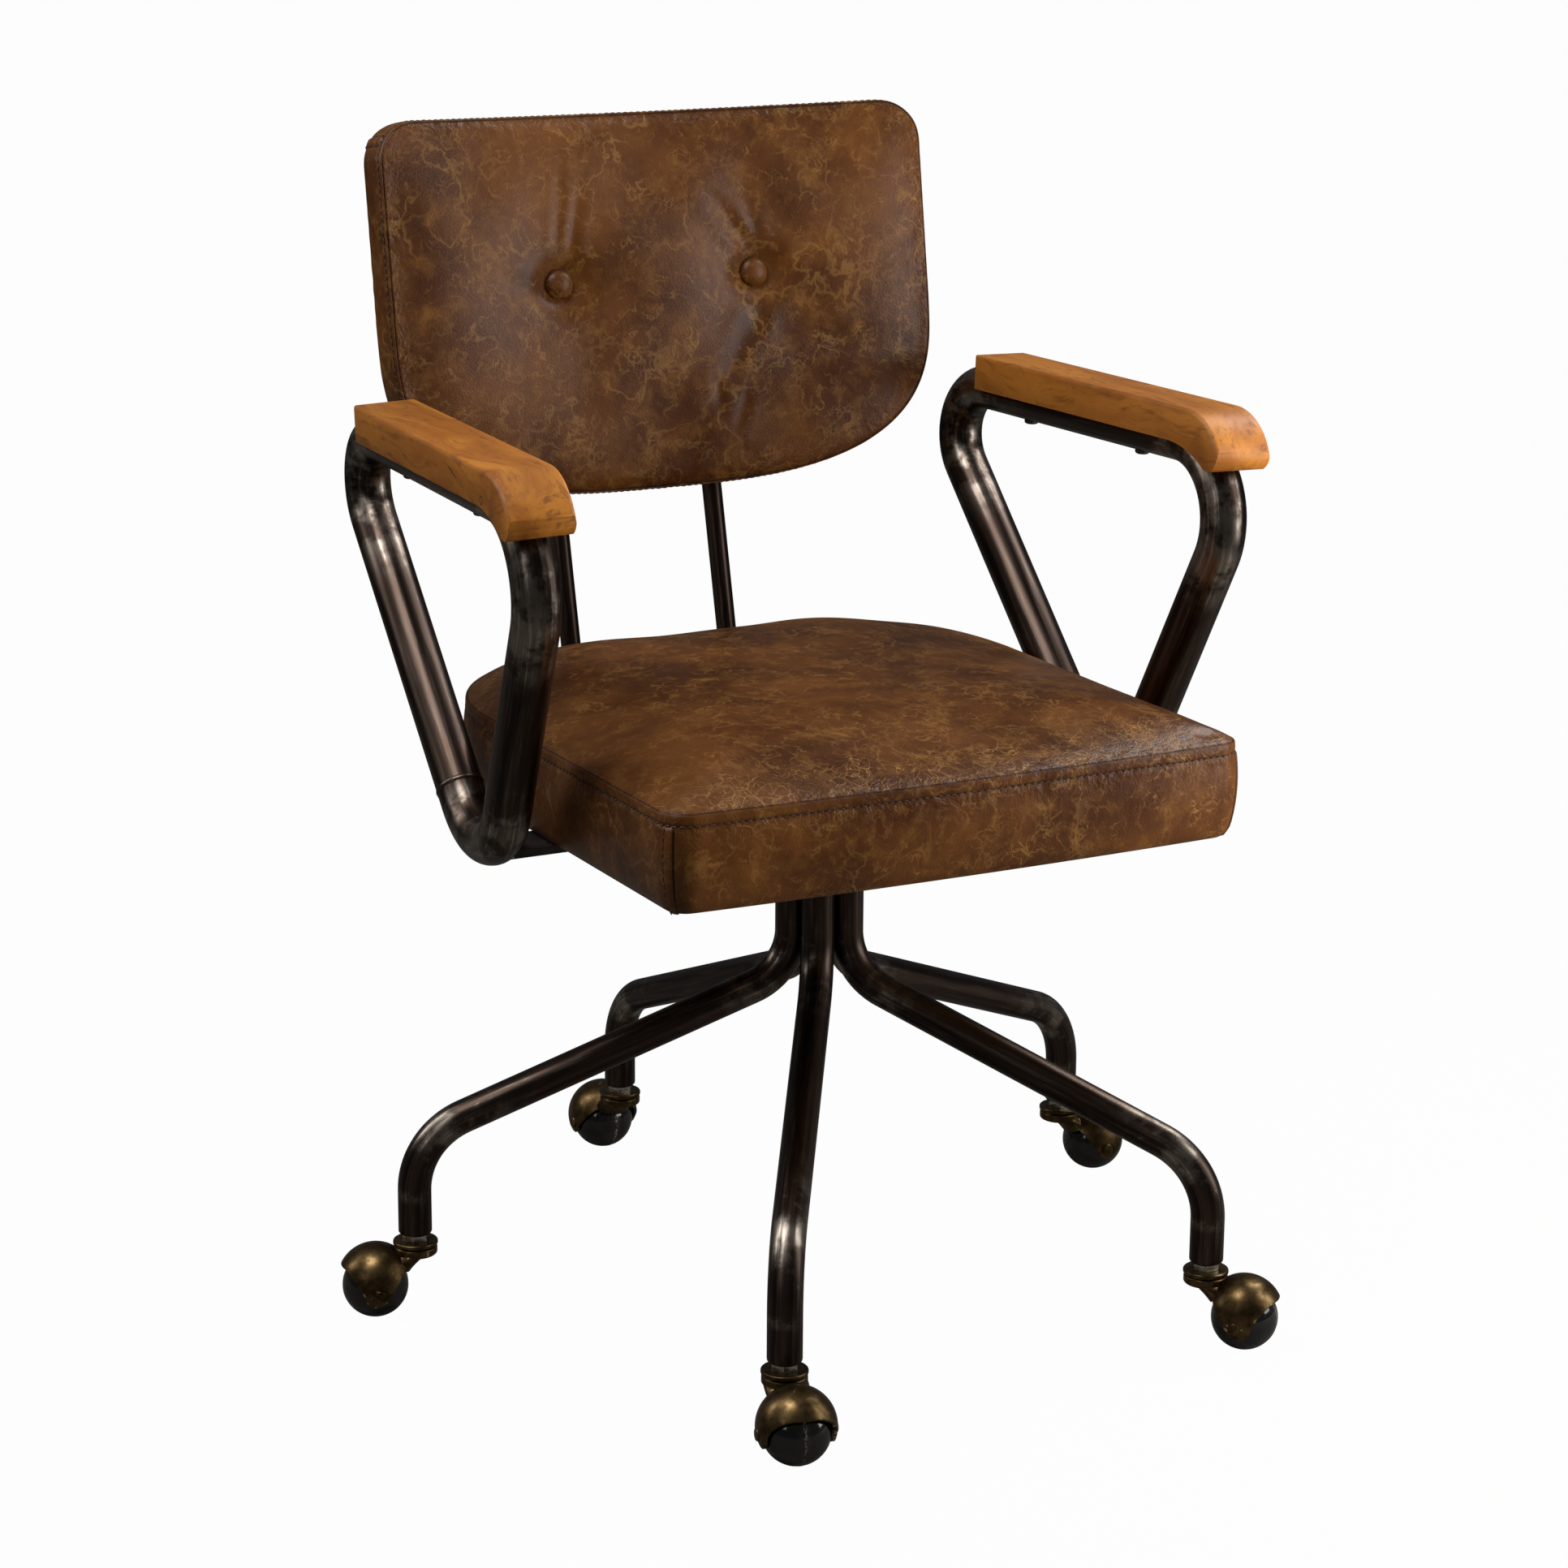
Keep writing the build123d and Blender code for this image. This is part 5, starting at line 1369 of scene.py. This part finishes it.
def make_button(hand):
    """Covered button: hide drawn over a dome and pleated round its edge."""
    low, high = (Vector(c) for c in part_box(f"back_button_{hand}"))
    front = Vector((0, -math.cos(BACK_LEAN), math.sin(BACK_LEAN)))
    up = Vector((0, math.sin(BACK_LEAN), math.cos(BACK_LEAN)))
    base = (low + high) / 2 - front * BUTTON_H / 2
    profile = [(0.01, 9), (2.5, 8.9), (5, 8.5), (7.3, 7.7), (9.2, 6.5), (10.7, 5.0), (11.6, 3.6), (11.9, 2.4)]
    profile += [(11.6, 1.3), (10.4, 0.5), (8, 0.2), (0.01, 0.2)]
    points, faces = turned(
        [(r * MM, h * MM) for r, h in profile],
        54,
        lambda a, b, h: base + Vector((1, 0, 0)) * a + up * b + front * h,
        lambda j, angle: 1 + (0.012 * math.cos(18 * angle) if 5 <= j <= 9 else 0),
    )
    mesh = mesh_of(f"button_{hand}", points, faces, HIDE)
    piece = add_object(f"button_{hand}", mesh)
    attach(piece, "seat")
    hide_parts(f"back_button_{hand}")


make_button("left")
make_button("right")


# Casters


def make_ball(number):
    """Ball wheel with a rough mould line round its middle and flat hub faces."""
    joint = next(j for j in frame["record"]["behaviour"]["joints"] if j["name"] == f"wheel_spin_{number}")
    middle, axle = Vector(joint["pos_m"]), Vector(joint["axis"]).normalized()
    up = Vector((0, 0, 1))
    across = axle.cross(up)
    # In mm along the axle: hub face, its broken edge, the round side, the steps up to the mould line
    hub_r, hub_rim, ball_r = 3.0, 24.4, 24.9
    heights = [-24.5, -24.5, -24.2] + [-24 * math.cos(math.pi * i / 30) for i in range(1, 14)]
    heights += [-1.4, -0.8, -0.35]
    heights += [0.0] + [-h for h in reversed(heights)]
    profile, ridge = [], []
    for j, height in enumerate(heights):
        ends = j in (0, len(heights) - 1)
        radius = hub_r if ends else math.sqrt(ball_r**2 - min(abs(height), hub_rim) ** 2)
        profile.append((radius * MM, height * MM))
        ridge.append(math.exp(-((height / 0.7) ** 2)))

    def flash(j, angle):
        ragged = 0.0012 * math.sin(37 * angle) * math.sin(23 * angle + 1)
        return 1 + ridge[j] * (0.002 + ragged + 0.0008 * math.sin(83 * angle))

    sides = 96
    points, faces = turned(profile, sides, lambda a, b, h: middle + across * a + up * b + axle * h, flash)
    faces += end_faces(len(profile), sides)
    mesh = mesh_of(f"ball_{number}", points, faces, BALL)
    away = [abs((v.co - middle).dot(axle)) / MM for v in mesh.vertices]
    mark_points(mesh, "mould_line", [math.exp(-((a / 0.9) ** 2)) for a in away])
    piece = add_object(f"ball_{number}", mesh)
    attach(piece, f"wheel_{number}")
    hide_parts(f"caster_wheel_{number}")


for k in range(1, 6):
    make_ball(k)
    eased_copy(f"caster_hood_{k}", BRASS, 0.4 * MM)
    eased_copy(f"caster_axle_{k}", BRASS, 0.3 * MM)


# Lift screw


def make_lift_screw():
    """Spindle with its rolled thread, the boss over it and the flange under the seat plate."""
    low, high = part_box("seat_spindle")
    flange_r = (high[0] - low[0]) / 2
    nut_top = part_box("lift_nut")[1][2]
    top, flange = high[2], high[2] - 6 * MM
    pitch, sides = 3 * MM, 32
    rings = int((nut_top - SPINDLE_LOW_Z) / (pitch / 6))
    points = []
    for j in range(rings + 1):
        height = SPINDLE_LOW_Z + (nut_top - SPINDLE_LOW_Z) * j / rings
        for i in range(sides):
            turn = (height / pitch - i / sides) % 1
            fade = min(1, j / 8, (rings - j) / 8)
            radius = SPINDLE_R - 1.1 * MM * fade * (0.5 + 0.5 * math.cos(2 * math.pi * turn))
            angle = 2 * math.pi * i / sides
            points.append((radius * math.cos(angle), radius * math.sin(angle), height))
    collar = [(SPINDLE_R, nut_top), (BOSS_R - 1.2 * MM, nut_top + 0.1 * MM), (BOSS_R, nut_top + 1.3 * MM)]
    collar += [(BOSS_R, flange - 1.5 * MM), (BOSS_R + 1.5 * MM, flange), (flange_r - 0.8 * MM, flange)]
    collar += [(flange_r, flange + 0.8 * MM), (flange_r, top - 0.1 * MM), (flange_r - 0.4 * MM, top)]
    for radius, height in collar:
        for i in range(sides):
            angle = 2 * math.pi * i / sides
            points.append((radius * math.cos(angle), radius * math.sin(angle), height))
    total = rings + 1 + len(collar)
    faces = ring_faces(total, sides) + end_faces(total, sides)
    piece = add_object("lift_screw", mesh_of("lift_screw", points, faces, ZINC))
    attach(piece, "seat")
    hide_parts("seat_spindle")


make_lift_screw()


# Screw heads


def head_tree():
    """One screw head on every point, turned to face the way the point's own direction gives."""
    tree, given = new_tree("screw_heads", {"Head": "Object", "Finish": "Material"})
    head = put(tree, "GeometryNodeObjectInfo", {"Object": given.outputs["Head"]}, "Geometry")
    facing = put(tree, "GeometryNodeInputNamedAttribute", {"Name": "facing"}, 0, data_type="FLOAT_VECTOR")
    turn = put(tree, "FunctionNodeAlignRotationToVector", {"Vector": facing}, 0, axis="Z")
    spots = put(tree, "GeometryNodeMeshToPoints", {"Mesh": given.outputs["Geometry"]}, 0)
    laid = put(tree, "GeometryNodeInstanceOnPoints", {"Points": spots, "Instance": head, "Rotation": turn}, 0)
    whole = put(tree, "GeometryNodeRealizeInstances", {0: laid}, 0)
    done = put(tree, "GeometryNodeSetMaterial", {"Geometry": whole, "Material": given.outputs["Finish"]}, 0)
    put(tree, "NodeGroupOutput", {0: done})
    return tree


HEAD_TREE = head_tree()


def socket_head(radius, height):
    """Domed head with a hexagon socket, standing on the XY plane."""
    sides = 24
    levels = [(1.0, -0.3), (1.0, 0.25), (0.94, 0.6), (0.78, 0.88), (0.6, 1.0)]
    points = []
    for share, level in levels:
        for i in range(sides):
            angle = 2 * math.pi * i / sides
            girth = radius * share
            points.append((girth * math.cos(angle), girth * math.sin(angle), height * level))
    for level in (1.0, 0.3):
        for i in range(sides):
            angle = 2 * math.pi * i / sides
            flat = 0.42 * radius / math.cos((angle + math.pi / 6) % (math.pi / 3) - math.pi / 6)
            points.append((flat * math.cos(angle), flat * math.sin(angle), height * level))
    rings = len(levels) + 2
    faces = ring_faces(rings, sides) + end_faces(rings, sides)
    mesh = mesh_of("head_pattern", points, faces, ZINC)
    for face in mesh.polygons:
        face.use_smooth = face.vertices[0] < len(levels) * sides and len(face.vertices) == 4
    return add_object("head_pattern", mesh)


def screws_of(node):
    """Middle of each head's seat and the way it faces, for the separate screws of a CAD node."""
    work = bmesh.new()
    work.from_mesh(frame["nodes"][node].data)
    bmesh.ops.remove_doubles(work, verts=work.verts, dist=1e-5)
    work.verts.index_update()
    points = list(work.verts)
    left, found = set(range(len(points))), []
    while left:
        group, edge = set(), {min(left)}
        while edge:
            group |= edge
            edge = {e.other_vert(points[k]).index for k in edge for e in points[k].link_edges} - group
        left -= group
        places = np.array([points[k].co for k in sorted(group)])
        middle = (places.min(0) + places.max(0)) / 2
        axis = np.linalg.svd(places - places.mean(0))[2][0]
        along = (places - middle) @ axis
        girth = np.linalg.norm(places - middle - along[:, None] * axis, axis=1)
        if girth[along > 0].max() < girth[along < 0].max():
            axis, along = -axis, -along
        wide = along[girth > girth.max() * 0.97]
        found.append((middle + axis * wide.min(), axis, girth.max(), along.max() - wide.min()))
    work.free()
    return found


def make_heads(node, material):
    """Socket-headed screws in the places of a CAD node's plain ones."""
    screws = screws_of(node)
    mesh = bpy.data.meshes.new(node)
    mesh.from_pydata([tuple(s[0]) for s in screws], [], [])
    facing = [float(c) for s in screws for c in s[1]]
    mesh.attributes.new("facing", "FLOAT_VECTOR", "POINT").data.foreach_set("vector", facing)
    piece = add_object(node + "_heads", mesh)
    pattern = socket_head(screws[0][2], screws[0][3])
    apply_tree(piece, HEAD_TREE, Head=pattern, Finish=material)
    bpy.data.objects.remove(pattern)
    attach(piece, frame["nodes"][node]["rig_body"])
    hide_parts(node)


for node, finish in (
    ("arm_pad_screws", ENAMEL),
    ("back_bolts", ENAMEL),
    ("seat_plate_screws", ZINC),
    ("bracket_screws", ZINC),
    ("saddle_screws", ZINC),
):
    make_heads(node, finish)


# Metal, wood and plastic taken over from the solids with broken edges
for node, finish, width in (
    ("caster_top_discs", BRASS, 0.3 * MM),
    ("caster_stems", ZINC, 0.35 * MM),
    ("arm_pad_left", WOOD, 2.4 * MM),
    ("arm_pad_right", WOOD, 2.4 * MM),
    ("hub_top_plate", ENAMEL, 0.6 * MM),
    ("lift_nut", ENAMEL, 0.7 * MM),
    ("seat_plate", ENAMEL, 0.8 * MM),
    ("arm_bracket_left", ENAMEL, 0.8 * MM),
    ("arm_bracket_right", ENAMEL, 0.8 * MM),
    ("back_spacers", ENAMEL, 0.5 * MM),
    ("strut_saddles", ENAMEL, 0.5 * MM),
):
    eased_copy(node, finish, width)

# Nodes that keep their own shape
for node, finish in (
    ("leg_inserts", ENAMEL),
    ("hub_sleeve", ENAMEL),
    ("thrust_washer", ZINC),
    ("seat_board", PLYWOOD),
):
    mesh = frame["nodes"][node].data
    mesh.materials.clear()
    mesh.materials.append(finish)


# Floor, light and camera


def make_stage():
    """Plain pale floor that runs out of sight: near white to the camera, mid grey to what mirrors it."""
    mesh = bpy.data.meshes.new("floor")
    corners = [(x * FLOOR_HALF, y * FLOOR_HALF, 0) for x, y in ((-1, -1), (1, -1), (1, 1), (-1, 1))]
    mesh.from_pydata(corners, [], [(0, 1, 2, 3)])
    made, tree, shader = new_material("pale_floor")
    shader.inputs["Base Color"].default_value = linear("5e5b57")
    shader.inputs["Roughness"].default_value = 0.95
    seen = put(tree, "ShaderNodeLightPath", None, "Is Camera Ray")
    glow = put(tree, "ShaderNodeEmission", {"Color": linear("ffffff"), "Strength": 1.03}, 0)
    share = put(tree, "ShaderNodeMath", {0: seen, 1: 0.95}, 0, operation="MULTIPLY")
    mixed = put(tree, "ShaderNodeMixShader", {0: share, 1: shader.outputs[0], 2: glow}, 0)
    tree.links.new(mixed, tree.nodes["Material Output"].inputs["Surface"])
    mesh.materials.append(made)
    add_object("floor", mesh)


def softbox(name, place, aim, width, height, watts, mirrored=True):
    """One rectangular studio light, which glossy things mirror or not."""
    light = bpy.data.lights.new(name, "AREA")
    light.shape = "RECTANGLE"
    light.size = width
    light.size_y = height
    light.energy = watts
    lamp = bpy.data.objects.new(name, light)
    lamp.location = place
    lamp.visible_camera = False
    lamp.visible_glossy = mirrored
    lamp.rotation_euler = (Vector(aim) - Vector(place)).to_track_quat("-Z", "Y").to_euler()
    bpy.context.scene.collection.objects.link(lamp)


def make_light():
    """White room for the camera, dim for what mirrors it, with soft boxes on both sides, above and behind."""
    world = bpy.data.worlds.new("studio")
    bpy.context.scene.world = world
    world.use_nodes = True
    tree = world.node_tree
    room = tree.nodes["Background"]
    room.inputs["Color"].default_value = linear("ffffff")
    seen = put(tree, "ShaderNodeLightPath", None, "Is Camera Ray")
    tree.links.new(put(tree, "ShaderNodeMapRange", {0: seen, 3: 0.07, 4: 1.0}, 0), room.inputs["Strength"])
    softbox("right_box", (0.8, -0.8, 0.5), (0.05, 0, 0.45), 0.45, 0.9, 15, mirrored=False)
    softbox("right_soft_box", (1.05, -0.78, 0.8), (0.05, 0, 0.5), 0.5, 1.1, 8)
    softbox("right_top_box", (1.3, 0.2, 1.8), (0.1, 0, 0.45), 0.5, 0.9, 14)
    softbox("top_left_box", (-0.95, -0.15, 2.4), (0, 0, 0.5), 0.9, 1.0, 28)
    softbox("left_strip", (-2.1, -1.0, 1.45), (0, 0, 0.5), 0.4, 1.2, 3)
    softbox("left_rear_box", (-1.9, 1.2, 1.8), (0, 0, 0.5), 0.6, 1.5, 16)
    softbox("rear_box", (0.6, 1.7, 2.2), (0, 0.2, 0.6), 0.9, 0.9, 13, mirrored=False)
    bpy.context.scene.view_settings.view_transform = "Standard"


def make_camera():
    """Camera where the photograph was taken from, over the chair's left front corner."""
    lens = bpy.data.cameras.new("camera")
    lens.sensor_fit = "HORIZONTAL"
    lens.sensor_width = 36.0
    lens.lens = CAMERA_LENS
    lens.clip_end = 200
    yaw, pitch, roll = (math.radians(a) for a in CAMERA_TURN)
    ahead = Vector((math.sin(yaw) * math.cos(pitch), math.cos(yaw) * math.cos(pitch), -math.sin(pitch)))
    right = Vector((math.cos(yaw), -math.sin(yaw), 0))
    down = ahead.cross(right)
    tilted_right = right * math.cos(roll) + down * math.sin(roll)
    tilted_down = down * math.cos(roll) - right * math.sin(roll)
    turn = Matrix((tilted_right, -tilted_down, -ahead)).transposed().to_4x4()
    camera = bpy.data.objects.new("camera", lens)
    camera.matrix_world = Matrix.Translation(CAMERA_PLACE) @ turn
    bpy.context.scene.collection.objects.link(camera)
    bpy.context.scene.camera = camera


make_stage()
make_light()
make_camera()
